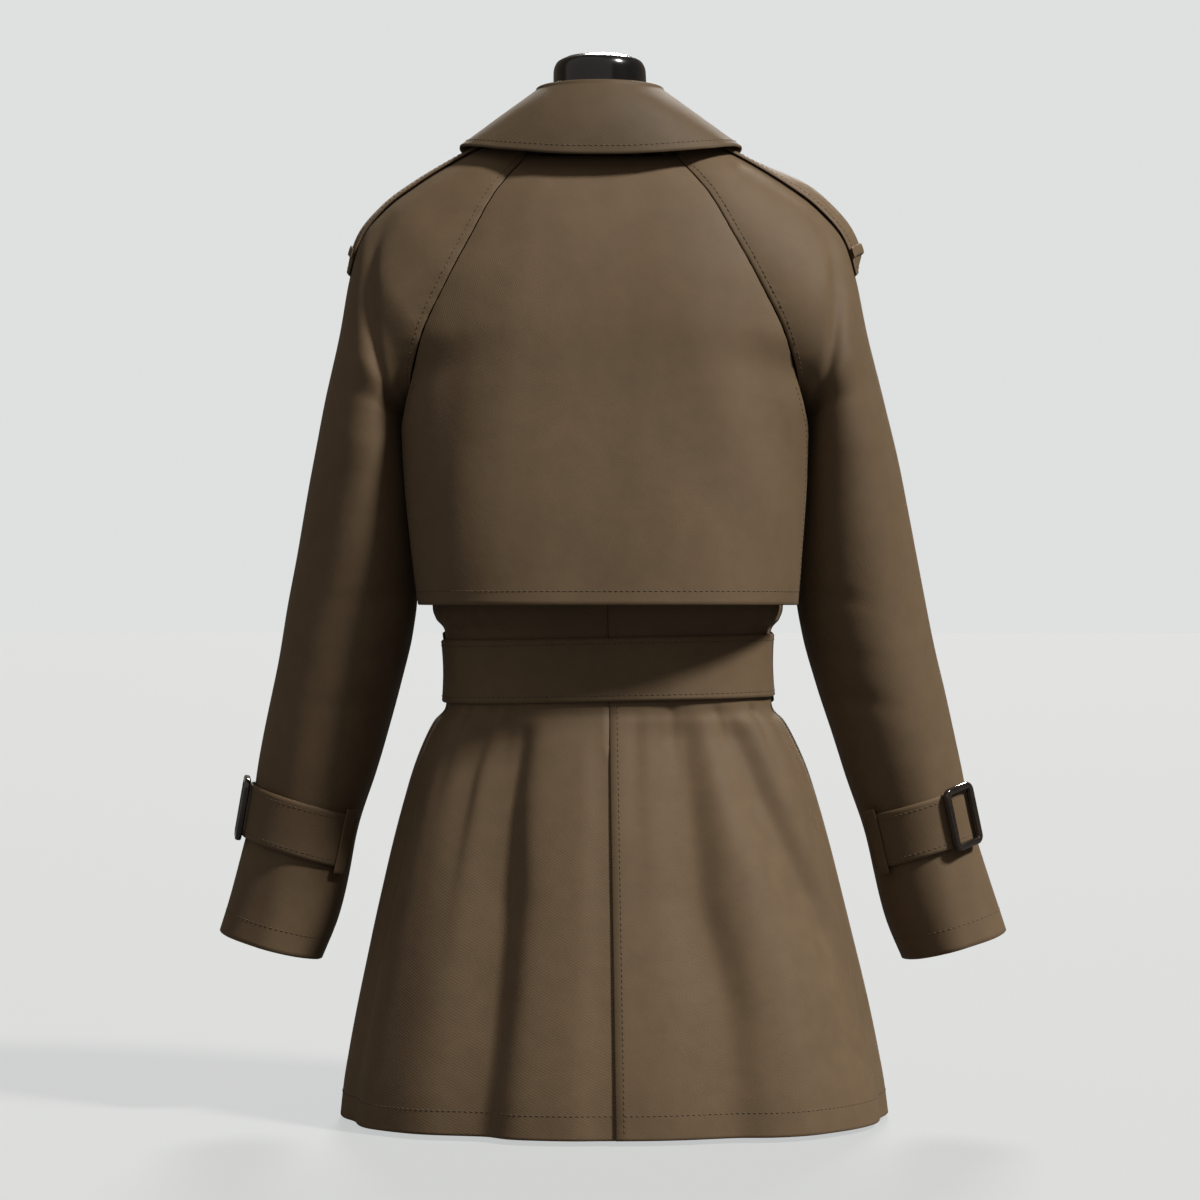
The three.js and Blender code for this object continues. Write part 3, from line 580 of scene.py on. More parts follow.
def ramp(tree, factor, *stops):
    node = fill_in(tree.nodes.new("ShaderNodeValToRGB"), {"Fac": factor})
    for element, (place, colour) in zip(node.color_ramp.elements, stops):
        element.position = place
        element.color = (*colour, 1)
    return node.outputs["Color"]


def times(tree, share, a, b):
    """Colour a multiplied by colour b, by a share."""
    node = tree.nodes.new("ShaderNodeMix")
    node.data_type, node.blend_type = "RGBA", "MULTIPLY"
    return fill_in(node, {"Factor": share, "A": a, "B": b}).outputs["Result"]


def bump(tree, height, strength, distance, **under):
    values = {"Strength": strength, "Distance": distance, "Height": height, **under}
    return fill_in(tree.nodes.new("ShaderNodeBump"), values).outputs["Normal"]


def grey(level):
    return (level, level, level)


def shaded(colour, level):
    return tuple(level * c for c in colour)


def gabardine(name, colour, twill=1.0):
    """Fine diagonal twill: colour drifts slowly, the twill and the yarns show in colour and bump."""
    material, tree = tree_of(name)
    place = tree.nodes.new("ShaderNodeTexCoord").outputs
    wave = tree.nodes.new("ShaderNodeTexWave")
    wave.wave_type, wave.bands_direction = "BANDS", "DIAGONAL"
    fill_in(wave, {"Scale": 290, "Distortion": 1.2, "Detail": 1, "Vector": place["UV"]})
    stripes = wave.outputs["Fac"]
    yarn = noise(tree, 2600, Vector=place["UV"])
    drift = noise(tree, 9, 3, 0.6, Vector=place["Object"])
    mottle = noise(tree, 70, 3, 0.6, Vector=place["Object"])
    drifting = ramp(tree, drift, (0.35, shaded(colour, 0.93)), (0.65, shaded(colour, 1.07)))
    mottled = times(tree, 0.6, drifting, ramp(tree, mottle, (0.3, grey(0.9)), (0.7, grey(1.08))))
    rough = fill_in(tree.nodes.new("ShaderNodeMapRange"), {"To Min": 0.6, "To Max": 0.74, "Value": drift})
    twill_bump = bump(tree, stripes, 0.14 * twill, 0.0003)
    yarn_bump = bump(tree, yarn, 0.12, 0.0003, Normal=twill_bump)
    striped = ramp(tree, stripes, (0, grey(0.86)), (1, grey(1.1)))
    fill_in(tree.nodes["Principled BSDF"], {
        "Base Color": times(tree, 0.32 * twill, mottled, striped),
        "Roughness": rough.outputs["Result"],
        "Specular IOR Level": 0.22,
        "Sheen Weight": 0.05,
        "Sheen Roughness": 0.5,
        "Sheen Tint": (0.9, 0.8, 0.66, 1),
        "Normal": bump(tree, mottle, 0.10, 0.002, Normal=yarn_bump),
    })
    return material


def resin(name, dark, light, roughness, coat, scale=60):
    """Polished resin with a faint marbling."""
    material, tree = tree_of(name)
    place = tree.nodes.new("ShaderNodeTexCoord").outputs["Object"]
    cloud = noise(tree, scale, 4, 0.6, Distortion=1.5, Vector=place)
    fill_in(tree.nodes["Principled BSDF"], {
        "Base Color": ramp(tree, cloud, (0.4, dark), (0.7, light)),
        "Roughness": roughness,
        "Coat Weight": coat,
        "Coat Roughness": 0.06,
        "Normal": bump(tree, noise(tree, 350, Vector=place), 0.04, 0.0004),
    })
    return material


BROWN = (0.100, 0.0655, 0.0365)
MATERIALS = {
    "gabardine": gabardine("gabardine", BROWN),
    # The collar's cloth is the coat's gabardine darkened to 0.74 of its colour: painted shade, so the
    # upturned collar shows darker than the lights leave it.
    "collar": gabardine("gabardine_collar_painted_shade", shaded(BROWN, 0.74)),
    "form": resin("form_lacquer", (0.003, 0.003, 0.0035), (0.006, 0.006, 0.0065), 0.2, 0.2, 20),
    "buckle": resin("buckle_resin", (0.007, 0.005, 0.005), (0.02, 0.013, 0.01), 0.16, 0.7, 90),
    "button": resin("button_resin", (0.018, 0.011, 0.007), (0.06, 0.036, 0.02), 0.22, 0.5, 120),
}
# The thread is a little darker than the cloth: partly its own colour, partly painted shade for the shadow
# in the sunk stitch lines.
THREAD_PAINTED_SHADE = gabardine("thread", (0.085, 0.060, 0.037), twill=0.3)

# ------ relief of the cloth
def lines_wander(angle, z, scale=1.0):
    """Very soft unevenness of hanging cloth, in mm."""
    return scale * (0.5 * wander(angle / 9 + z / 160, 1) + 0.4 * wander(z / 60 - angle / 23, 4))


RELIEF_ASPECT = 2.2
# Soft drag lines of the shield: side, place from the middle at z 600, slant, half width, height, and the
# heights above the floor between which each one grows.
SHIELD_DRAGS = [
    (1, 70, 0.35, 26, 1.6, 700, 600),
    (1, 112, 0.2, 15, -1.3, 640, 560),
    (-1, 78, 0.35, 26, 1.6, 700, 600),
    (-1, 120, 0.2, 15, -1.3, 640, 560),
]


def seam_pucker(distance, along, reach=7.0, depth=0.45, pitch=13.0):
    """Little waves where a seam gathers the cloth."""
    wave = 0.5 + 0.5 * np.sin(along * 2 * math.pi / pitch + 0.8 * wander(along / 31, 7))
    return -depth * wave * hump(distance, reach)


def body_relief(u, v, p):
    x, z = p[..., 0] / RELIEF_ASPECT, p[..., 2]
    return lines_wander(x, z) * smooth(z, 392, 410) + lines_wander(x, z, 0.7) * smooth(z, 320, 300)


def shield_relief(u, v, p):
    x, z = p[..., 0], p[..., 2]
    total = lines_wander(x / RELIEF_ASPECT, z, 0.8)
    for side, start, slant, half, height, high, low in SHIELD_DRAGS:
        lie = side * x - start - slant * (600 - z)
        total = total + height * hump(lie, half) * smooth(z, high, low)
    seam = seam_pucker((1 - np.abs(v)) * 90, z) * smooth(u, 5.3, 4.8)
    return total + seam + 0.9 * wander(x / 45, 3) * smooth(z, 470, 404)


# ------ body panels
def ventless(row):
    z = BACK(row)[0]
    share = share_at(BACK, row, VENT_UNDERLAP * smooth(z, VENT_TOP, VENT_TOP - VENT_EASE))
    return np.where(z > VENT_TOP, 0.0, share)


def back_lift(row, v=None):
    return mix(-UNDER, 0, smooth(row, UNDERARM + 1, UNDERARM + 5)) - SEAM_GAP


def left_back(row, v):
    return back(row, mix(-ventless(row), 1, v))


def left_back_lift(row, v):
    s = mix(-ventless(row), 1, v)
    vent = smooth(BACK(row)[0], VENT_TOP + 20, VENT_TOP - 20)
    return back_lift(row) - vent * VENT_STEP * smooth(s, 0.06, 0.01)


def right_back_relief(row, v, p):
    lifted = 0.4 * smooth(p[..., 2], VENT_TOP + 10, VENT_TOP - VENT_EASE) * smooth(v, 0.05, 0.0)
    return body_relief(row, v, p) + lifted


def rows_between(start, end, per_row):
    return span(start, end, int(round((end - start) * per_row)) + 1)


HEM_STITCH = 19
SHIELD_STITCH = 11
COLLAR_STITCH = 7
BELT_STITCH = 5
EDGE_STITCH = 6.5
SEAM_STITCH = 6.0
BODY_ROWS = np.concatenate([
    rows_between(0, UNDERARM, 5)[:-1],
    rows_between(UNDERARM, LAST_ROW - 3, 8)[:-1],
    rows_between(LAST_ROW - 3, LAST_ROW, 10),
])
hem_row = float(body_row(BODY[-1][0] + HEM_STITCH))
SHARES = span(0.005, 0.995, 90)

hem_line = (np.full(90, hem_row), SHARES)

right_back_panel = Panel(lambda r, v: back(r, -v), back_lift, relief=right_back_relief)
left_back_panel = Panel(left_back, left_back_lift, relief=body_relief)
cloth("back_panel_right", right_back_panel, BODY_ROWS, span(0, 1, 76), replaces=["back_right"])
cloth("back_panel_left", left_back_panel, BODY_ROWS, span(0, 1, 84), replaces=["back_left"])
middle_rows = span(float(body_row(390)), LAST_ROW - 0.1, 90)
stitches("stitches_back_right", right_back_panel, [
    hem_line, beside(right_back_panel, middle_rows, 0, EDGE_STITCH, "v"),
])
stitches("stitches_back_left", left_back_panel, [hem_line])


def edge_across(z):
    return FRONT_EDGE - LAPEL_SLANT * np.maximum(0, z - TOP_BUTTON_Z)


def front_edge(row):
    return share_at(FRONT, row, edge_across(FRONT(row)[0]))


def over_front(row, v):
    return front(row, mix(-1, front_edge(row), v))


def under_front(row, v):
    return front(row, mix(1, -front_edge(row), v))


def under_front_lift(row, v):
    s = mix(1, -front_edge(row), v)
    edge = front_edge(row)
    return -SEAM_GAP - LAP * smooth(s, edge + 0.28, edge + 0.06)


right_front_panel = Panel(over_front, -SEAM_GAP, relief=body_relief)
left_front_panel = Panel(under_front, under_front_lift, relief=body_relief)
cloth("front_panel_right", right_front_panel, BODY_ROWS, span(0, 1, 92), replaces=["front_right"])
cloth("front_panel_left", left_front_panel, BODY_ROWS, span(0, 1, 92), replaces=["front_left"])
front_rows = span(UNDERARM + 1.5, LAST_ROW - 0.1, 120)
stitches("stitches_front_right", right_front_panel, [
    hem_line, beside(right_front_panel, front_rows, 1, -EDGE_STITCH, "v"),
])
stitches("stitches_front_left", left_front_panel, [hem_line])

SHIELD_ROWS = np.concatenate([rows_between(0, 5, 7)[:-1], rows_between(5, SHIELD_END, 9)])
shield_panel = Panel(shield, -SEAM_GAP, (0, AXIS_Y, 600), shield_relief)
cloth("storm_shield_flap", shield_panel, SHIELD_ROWS, span(-1, 1, 111), replaces=["storm_shield"])
shield_side_rows = span(5.2, SHIELD_END - 0.3, 60)
stitches("stitches_shield", shield_panel, [
    beside(shield_panel, SHIELD_END, span(-0.99, 0.99, 140), -SHIELD_STITCH, "u"),
    *[beside(shield_panel, shield_side_rows, side, -side * EDGE_STITCH, "v") for side in (1, -1)],
])


# ------ sleeves
# Slanting drag lines about the elbow: row and place round the sleeve.
ELBOW_DRAGS = [(11.2, 0.72), (12.4, 0.78), (13.5, 0.70)]
CUFF_ROW = UNDERARM + 9.5


def sleeve_relief(side, seed):
    def relief(row, t, p):
        z = p[..., 2]
        total = 0.8 * wander(z / 55 + 2 * t, seed) * smooth(row, 6, 9)
        if side == "back":
            # the hollow that runs from the shoulder down to the underarm, and the swell above it
            middle = mix(0.36, 0.80, smooth(row, 3.0, 7.5))
            hollow = 3.4 * smooth(row, 2.6, 4.2) * smooth(row, 9.0, 6.6)
            swell = 1.2 * smooth(row, 3, 5) * smooth(row, 9, 6)
            total = total - hollow * hump(t - middle, 0.09)
            total = total + swell * hump(t - middle + 0.22, 0.14)
            for drag_row, drag_place in ELBOW_DRAGS:
                lie = (row - drag_row) + 1.5 * (t - drag_place)
                total = total - 1.5 * hump(lie, 0.22) * hump(t - drag_place, 0.2)
            total = total + seam_pucker((1 - t) * 70, z, depth=0.8) * smooth(row, 7, 6)
        # a long soft crease towards the cuff, and the pull of the strap
        crease = hump(t - 0.30 - 0.03 * (row - 16), 0.09) * smooth(row, 13.5, 15.5)
        total = total - 1.8 * crease - 1.4 * hump(row - CUFF_ROW, 0.62)
        return total + 0.9 * smooth(row, CUFF_ROW + 0.7, SLEEVE_END) * wander(t * 7, seed + 2)

    return relief


SLEEVE_ROWS = np.concatenate([rows_between(0, UNDERARM, 8)[:-1], rows_between(UNDERARM, SLEEVE_END, 9)])
SLEEVE_INSIDE = (200, AXIS_Y, 400)
for hand, mirror in HANDS.items():
    for side in ("back", "front"):
        panel = Panel(lambda r, t, side=side: sleeve(side, r, t), -SEAM_GAP, SLEEVE_INSIDE,
                      sleeve_relief(side, 3 if mirror else 8), mirror)
        cloth(f"sleeve_{hand}_{side}_half", panel, SLEEVE_ROWS, span(0, 1, 46),
              replaces=[f"sleeve_{hand}_{side}"])
        stitches(f"stitches_sleeve_{hand}_{side}", panel, [
            beside(panel, SLEEVE_END, span(0.01, 0.99, 60), -HEM_STITCH, "u"),
            beside(panel, span(0.1, UNDERARM - 0.1, 90), 1, -SEAM_STITCH, "v"),
        ])


# ------ collar and lapels
COLLAR_CLOTH = 2.0
FOLD_RADIUS = 3.0


def fold_line(degrees, inset):
    a = np.radians(degrees)
    drop = 26 * smooth(np.abs(degrees), 80, FALL_END)
    return points_of((51 - inset) * np.sin(a), 3 + (50 - inset) * np.cos(a), 812 - drop)


def hang_line(degrees):
    a = np.radians(degrees)
    ahead = smooth(np.abs(degrees), 95, FALL_END)
    side = smooth(np.abs(degrees), 0, 85)
    return points_of(
        112 * power(np.sin(a), 0.86),
        4 + np.where(np.cos(a) > 0, 76, 116) * power(np.cos(a), 0.9),
        750 + 14 * side - 44 * ahead,
    )


def collar(k, degrees):
    """k runs up the stand from 0 to 1, over the fold to 2 and down the fall to 3."""
    k, degrees = both(k, degrees)
    a = np.radians(degrees)
    rise, over, down = np.clip(k, 0, 1), np.clip(k - 1, 0, 1), np.clip(k - 2, 0, 1)
    side = np.sin(a) ** 4
    ahead = smooth(np.abs(degrees), 100, FALL_END)
    depth = np.where(np.cos(a) > 0, 51, 58)
    neck = points_of(53.5 * np.sin(a), 3 + depth * np.cos(a), 757 + 27 * side - 4 * ahead)
    turn = np.pi * (1 - over)
    arch = fold_line(degrees, FOLD_RADIUS * (1 - np.cos(turn)))
    arch[..., 2] += FOLD_RADIUS * (np.sin(turn) - 1)
    inner_foot = fold_line(degrees, 2 * FOLD_RADIUS)
    inner_foot[..., 2] -= FOLD_RADIUS
    outer_foot = fold_line(degrees, 0)
    outer_foot[..., 2] -= FOLD_RADIUS
    stand = mix(neck, inner_foot, rise[..., None])
    fall = mix(outer_foot, hang_line(degrees), down[..., None])
    bulge = 7 * np.sin(np.pi * down) * np.cos(a) ** 2
    fall = fall + points_of(0 * down, 0.6 * bulge, 0.8 * bulge)
    return np.where((k <= 1)[..., None], stand, np.where((k <= 2)[..., None], arch, fall))


def collar_relief(k, degrees, p):
    fall = smooth(k, 2.05, 2.6)
    return fall * (0.5 * wander(degrees / 17, 2) + 0.5 * smooth(k, 2.8, 3.0) * wander(degrees / 8, 6))


collar_panel = Panel(collar, 0.0, (0, 0, 700), collar_relief)
COLLAR_STEPS = np.concatenate([
    span(0, 1, 12)[:-1], span(1, 2, 9)[:-1], span(2, 3, 30),
])
# The collar wears the gabardine darkened as painted shade.
cloth("collar_folded", collar_panel, COLLAR_STEPS, span(-FALL_END, FALL_END, 190),
      wall=COLLAR_CLOTH, replaces=["collar_fall", "collar_stand"], material=MATERIALS["collar"])
fall_steps = span(2.15, 2.92, 30)
stitches("stitches_collar", collar_panel, [
    beside(collar_panel, 3, span(-FALL_END + 3, FALL_END - 3, 200), -COLLAR_STITCH, "u"),
    *[beside(collar_panel, fall_steps, side * FALL_END, -side * COLLAR_STITCH, "v") for side in (1, -1)],
])


def lapel(side, row, v):
    z = FRONT(row)[0]
    heights, widths = np.array(LAPEL_WIDTHS, float).T
    fold = -edge_across(z) * side
    near = np.maximum(fold * side + 1.5, edge_across(z) + 2 if side > 0 else -np.inf)
    far = np.maximum(fold * side + np.interp(z, heights, widths), near + 2)
    return front(row, share_at(FRONT, row, side * mix(near, far, v)))


def lapel_relief(row, v, p):
    roll = 2.2 * smooth(v, 0.35, 0.0)
    return roll + 0.5 * wander(row * 1.3 + v, 5) * smooth(v, 0.1, 0.6)


LAPEL_LIFT = 2 * LAY_GAP + DOUBLE_CLOTH
for hand, side, rows in (("right", -1, span(float(body_row(514)), 0.1, 90)),
                         ("left", 1, span(4.3, 0.1, 60))):
    panel = Panel(lambda r, v, side=side: lapel(side, r, v), LAPEL_LIFT, relief=lapel_relief)
    cloth(f"lapel_flap_{hand}", panel, rows, span(0, 1, 30), wall=DOUBLE_CLOTH,
          replaces=[f"lapel_{hand}"])
    stitches(f"stitches_lapel_{hand}", panel, [beside(panel, rows[2:-2], 1, -EDGE_STITCH, "v")])


# ------ belt
def belt_point(drop, degrees):
    point = around(body_row(BELT_MIDDLE + BELT_WIDTH / 2 - drop), degrees)
    point[..., 2] -= BELT_TILT * point[..., 0]
    return point


def belt_relief(drop, degrees, p):
    return 0.5 * wander(degrees / 9, 2) + 0.35 * wander(degrees / 23 + drop / 30, 5)


BELT_LIFT = LAY_GAP + DOUBLE_CLOTH
belt_panel = Panel(belt_point, BELT_LIFT, relief=belt_relief)
cloth("belt_band", belt_panel, span(0, BELT_WIDTH, 17), span(-176, 174, 420),
      wall=DOUBLE_CLOTH, replaces=["belt"])
stitches("stitches_belt", belt_panel, [
    (np.full(500, float(drop)), span(-173, 171, 500))
    for drop in (BELT_STITCH, BELT_WIDTH - BELT_STITCH)
])
tail_panel = Panel(belt_point, BELT_LIFT * 2, relief=belt_relief)
cloth("belt_tail_end", tail_panel, span(1, BELT_WIDTH - 1, 14), span(120, 171, 64),
      wall=DOUBLE_CLOTH, replaces=["belt_tail"])
stitches("stitches_belt_tail", tail_panel, [
    (np.full(90, float(drop)), span(122, 170, 90))
    for drop in (BELT_STITCH + 1, BELT_WIDTH - BELT_STITCH - 1)
] + [(span(7, BELT_WIDTH - 7, 20), np.full(20, 122.0))])

LOOP_LENGTH = 60
LOOP_TOP = 385
LOOP_END = 4
LOOP_PLACE = 104


def loop_clear(drop, degrees):
    """Clears the belt, and comes down to the cloth at its two ends."""
    near = np.minimum(drop, LOOP_LENGTH - drop)
    return mix(LAY_GAP, BELT_LIFT + LAY_GAP, smooth(near, 0, LOOP_END)) + CLOTH


LOOP_DROPS = np.concatenate([
    span(0, LOOP_END, 6)[:-1],
    span(LOOP_END, LOOP_LENGTH - LOOP_END, 12),
    span(LOOP_LENGTH - LOOP_END, LOOP_LENGTH, 6)[1:],
])
for hand, middle in (("left", LOOP_PLACE), ("right", -LOOP_PLACE)):
    panel = Panel(lambda drop, degrees: around(body_row(LOOP_TOP - drop), degrees), loop_clear)
    cloth(f"belt_loop_{hand}_band", panel, LOOP_DROPS, span(middle - 3, middle + 3, 5),
          replaces=[f"belt_loop_{hand}"])

# ------ cuffs
STRAP_TOP = UNDERARM + 9
STRAP_END = UNDERARM + 10
STRAP_START = -0.83  # places round the sleeve, as sleeve_round takes them
STRAP_REACH = 0.86
STRAP_STITCH = 5
LOOP_PAST = 0.12
CUFF_LOOP = (0.74, 0.82)
CUFF_INSIDE = (240, -20, 230)
round_w = span(STRAP_START + 0.02, STRAP_REACH - 0.02, 190)
for hand, mirror in HANDS.items():
    panel = Panel(sleeve_round, BELT_LIFT, CUFF_INSIDE, lambda u, v, p: 0.35 * wander(v * 9, 3), mirror)
    cloth(f"cuff_strap_{hand}_band", panel, span(STRAP_TOP, STRAP_END, 14),
          span(STRAP_START, STRAP_REACH, 160), wall=DOUBLE_CLOTH, replaces=[f"cuff_strap_{hand}"])
    stitches(f"stitches_cuff_strap_{hand}", panel, [
        beside(panel, STRAP_TOP, round_w, STRAP_STITCH, "u"),
        beside(panel, STRAP_END, round_w, -STRAP_STITCH, "u"),
    ])
    panel = Panel(sleeve_round, BELT_LIFT + SEAM_GAP + CLOTH, CUFF_INSIDE, mirror=mirror)
    loop_rows = span(STRAP_TOP - LOOP_PAST, STRAP_END + LOOP_PAST, 16)
    cloth(f"cuff_loop_{hand}_band", panel, loop_rows, span(*CUFF_LOOP, 6),
          replaces=[f"cuff_loop_{hand}"])


# ------ epaulettes
SHOULDER_INSIDE = (120, 0, 600)
EPAULETTE_START = 0.75
EPAULETTE_END = 4.9
EPAULETTE_HALF_WIDTHS = (19, 27)
EPAULETTE_STITCH = 5
EPAULETTE_LOOP = (4.25, 4.5)


def epaulette_point(row, across):
    _, _, _, turn_b, depth_b, turn_f, depth_f = HEAD(row)
    depth = np.where(across > 0, depth_b, depth_f)
    turn = np.where(across > 0, turn_b, turn_f)
    half = mix(*EPAULETTE_HALF_WIDTHS, np.clip((row - 0.5) / 4, 0, 1))
    place = np.arcsin(np.abs(across) * half / depth) / np.radians(turn)
    return sleeve_round(row, np.sign(across) * place)


def epaulette_lift(height):
    """The strap bows up along its middle line by height, and its ends and long edges settle."""
    def lift(row, across):
        settle = 1 - 0.95 * smooth(np.abs(across), 0, 1)
        ends = smooth(row, 1, 2.6) * smooth(row, EPAULETTE_END, EPAULETTE_END - 0.5)
        return LAY_GAP + DOUBLE_CLOTH + height * settle * ends

    return lift


def epaulette_loop_lift(height):
    return lambda row, v: epaulette_lift(height)(row, v) + SEAM_GAP + CLOTH


for hand, mirror, height in (("left", False, 1), ("right", True, 7.5)):
    panel = Panel(epaulette_point, epaulette_lift(height), SHOULDER_INSIDE, mirror=mirror)
    cloth(f"epaulette_{hand}_strap", panel, span(EPAULETTE_START, EPAULETTE_END, 70),
          span(-1, 1, 31), wall=DOUBLE_CLOTH, replaces=[f"epaulette_{hand}"])
    long_rows = span(EPAULETTE_START + 0.05, EPAULETTE_END - 0.05, 80)
    stitches(f"stitches_epaulette_{hand}", panel, [
        *[beside(panel, long_rows, side, -side * EPAULETTE_STITCH, "v") for side in (1, -1)],
        beside(panel, EPAULETTE_END, span(-0.75, 0.75, 20), -EPAULETTE_STITCH, "u"),
    ])
    panel = Panel(lambda r, v: epaulette_point(r, v * 1.06), epaulette_loop_lift(height), SHOULDER_INSIDE,
                  mirror=mirror)
    cloth(f"epaulette_loop_{hand}_band", panel, span(*EPAULETTE_LOOP, 6), span(-1, 1, 31),
          replaces=[f"epaulette_loop_{hand}"])


# ------ buckles and buttons
CUFF_BUCKLE = dict(wide=34, tall=50, bar=5.5, deep=3.5, corner=7)
BELT_BUCKLE = dict(wide=62, tall=62, bar=7, deep=4.5, corner=10)
BUCKLE_BEVEL = 0.8
BAR_SIDES = 20
BAR_SQUARENESS = 0.62
UP = np.array([0, 0, 1])
CUFF_SEATS = {"left": 0.05, "right": 0.27}
CUFF_BUCKLE_LIFT = BELT_LIFT + 0.6
BELT_BUCKLE_SHIFT = np.array([4, -(BELT_LIFT * 2 + 1.3), 0])


def seated(points, seat, normal, up, mirror=False):
    """Sets points on a surface: their +Z along the normal and their +Y along the given direction."""
    z = normal / np.linalg.norm(normal)
    x = np.cross(up, z)
    x /= np.linalg.norm(x)
    y = np.cross(z, x)
    p = np.array(points, float)
    return placed(seat + p[:, :1] * x + p[:, 1:2] * y + p[:, 2:] * z, mirror)


def buckle(name, seat, normal, up, wide, tall, bar, deep, corner, mirror=False, replaces=()):
    """An open frame: a rounded bar swept round a rounded rectangle."""
    radius = corner - bar / 2
    path = []
    for sx, sy, start in ((1, 1, 0), (-1, 1, 90), (-1, -1, 180), (1, -1, 270)):
        centre = np.array([sx * (wide / 2 - corner), sy * (tall / 2 - corner)])
        for degrees in span(start, start + 90, 13):
            out = np.array([math.cos(math.radians(degrees)), math.sin(math.radians(degrees))])
            path.append((centre + radius * out, out))
    half_bar, half_deep = bar / 2, deep / 2 + BUCKLE_BEVEL
    vertices = []
    for centre, out in path:
        for a in span(0, 2 * math.pi, BAR_SIDES, endpoint=False):
            r = half_bar * power(math.cos(a), BAR_SQUARENESS)
            height = deep / 2 + half_deep * power(math.sin(a), BAR_SQUARENESS)
            vertices.append((*(centre + r * out), height))
    faces = []
    for i in range(len(path)):
        here, after = i * BAR_SIDES, (i + 1) % len(path) * BAR_SIDES
        for k in range(BAR_SIDES):
            j = (k + 1) % BAR_SIDES
            faces.append((here + k, after + k, after + j, here + j))
    piece = new_object(name, seated(vertices, seat, normal, up, mirror), faces, slot="buckle")
    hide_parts(*replaces)


buckle_seat = belt_point(np.float64(BELT_WIDTH / 2), np.float64(180.0)) + BELT_BUCKLE_SHIFT
buckle("belt_buckle_frame", buckle_seat, np.array([0, -1, 0]), UP, **BELT_BUCKLE, replaces=["belt_buckle"])
strap_middle = (STRAP_TOP + STRAP_END) / 2


def surface_frame(surface, u, v, inside):
    """Point and outward normal of a surface at one place."""
    uu, vv = np.array([float(u)]), np.array([float(v)])
    p, n = surface(uu, vv), normals_of(surface, uu, vv)
    return p[0], n[0] * outward(p, n, inside)


for hand, mirror in HANDS.items():
    at = CUFF_SEATS[hand]
    cuff_point, cuff_normal = surface_frame(sleeve_round, strap_middle, at, CUFF_INSIDE)
    cuff_up = sleeve_round(STRAP_TOP, at) - sleeve_round(STRAP_END, at)
    buckle(f"cuff_buckle_{hand}_frame", cuff_point + cuff_normal * CUFF_BUCKLE_LIFT, cuff_normal, cuff_up,
           **CUFF_BUCKLE, mirror=mirror, replaces=[f"cuff_buckle_{hand}"])

BUTTON_DEPTH = 4
BUTTON_ROUND = 1.2
BUTTON_SHOULDER = BUTTON_RADIUS - BUTTON_ROUND
BUTTON_LIFT = 0.6
HOLE_PLACE = 2.1
HOLE_RADIUS = 1.05
THREAD_RADIUS = 0.45
THREAD_STEPS = 9
THREAD_SIDES = 8


def button_height(r, angle):
    """Height of the button's face: a dished middle, a raised rim and four thread holes."""
    rim = BUTTON_DEPTH - 1.3 * smooth(r, 9.4, 7.6) + 0.25 * smooth(r, 6, 0)
    past = (r - BUTTON_SHOULDER) / BUTTON_ROUND
    rim = rim - np.where(past > 0, BUTTON_ROUND * (1 - np.sqrt(np.clip(1 - past ** 2, 0, 1))), 0)
    x, y = r * np.cos(angle), r * np.sin(angle)
    hole = 0
    for sx in (-1, 1):
        for sy in (-1, 1):
            away = np.hypot(x - sx * HOLE_PLACE, y - sy * HOLE_PLACE)
            hole = hole + 1.6 * smooth(away, HOLE_RADIUS + 0.35, HOLE_RADIUS - 0.25)
    return rim - hole


def button(name, seat, normal, replaces):
    radii = np.concatenate([
        span(0.25, 5.5, 22), span(6, 10.6, 10), span(BUTTON_SHOULDER, BUTTON_RADIUS, 8),
    ])
    angles = span(0, 2 * math.pi, 72, endpoint=False)
    r, a = np.meshgrid(radii, angles, indexing="ij")
    top = np.stack([r * np.cos(a), r * np.sin(a), button_height(r, a)], -1).reshape(-1, 3)
    foot = BUTTON_RADIUS - 0.1
    rim = np.stack([foot * np.cos(angles), foot * np.sin(angles), 0 * angles], -1)
    vertices = [*top, *rim, (0, 0, 2.9), (0, 0, 0)]
    n, m = len(radii), len(angles)
    faces = []
    for k in range(m):
        j = (k + 1) % m
        faces += [(i * m + k, (i + 1) * m + k, (i + 1) * m + j, i * m + j) for i in range(n)]
        faces += [((n + 1) * m, k, j), ((n + 1) * m + 1, n * m + j, n * m + k)]
    piece = new_object(name, seated(vertices, seat, normal, UP), faces, slot="button", sharp=70)
    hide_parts(replaces)
    cross, bars = [], []
    for s in (-1, 1):
        first = len(cross)
        for along in span(-1, 1, THREAD_STEPS):
            bow = 2.55 + 0.8 * (1 - along * along) + 0.25 * (s > 0)
            for b in span(0, 2 * math.pi, THREAD_SIDES, endpoint=False):
                lie, wide = HOLE_PLACE * along, 0.7 * THREAD_RADIUS * math.cos(b)
                cross.append((lie - wide * s, s * lie + wide, bow + THREAD_RADIUS * math.sin(b)))
        ring = range(THREAD_SIDES)
        last = len(cross) - THREAD_SIDES
        for start in range(first, last, THREAD_SIDES):
            after = start + THREAD_SIDES
            for k in ring:
                j = (k + 1) % THREAD_SIDES
                bars.append((start + k, start + j, after + j, after + k))
        bars += [tuple(first + k for k in ring), tuple(last + k for k in reversed(ring))]
    new_object(name + "_thread", seated(cross, seat, normal, UP), bars, material=THREAD_PAINTED_SHADE)


for level, z in zip(("top", "middle", "low"), BUTTON_ROWS):
    for hand, sign in (("left", 1), ("right", -1)):
        row = float(body_row(z))
        share = float(share_at(FRONT, row, sign * BUTTON_COLUMN))
        seat, normal = surface_frame(front, row, share, (0, AXIS_Y, z))
        button(f"button_{level}_{hand}_disc", seat + normal * BUTTON_LIFT, normal, f"button_{level}_{hand}")

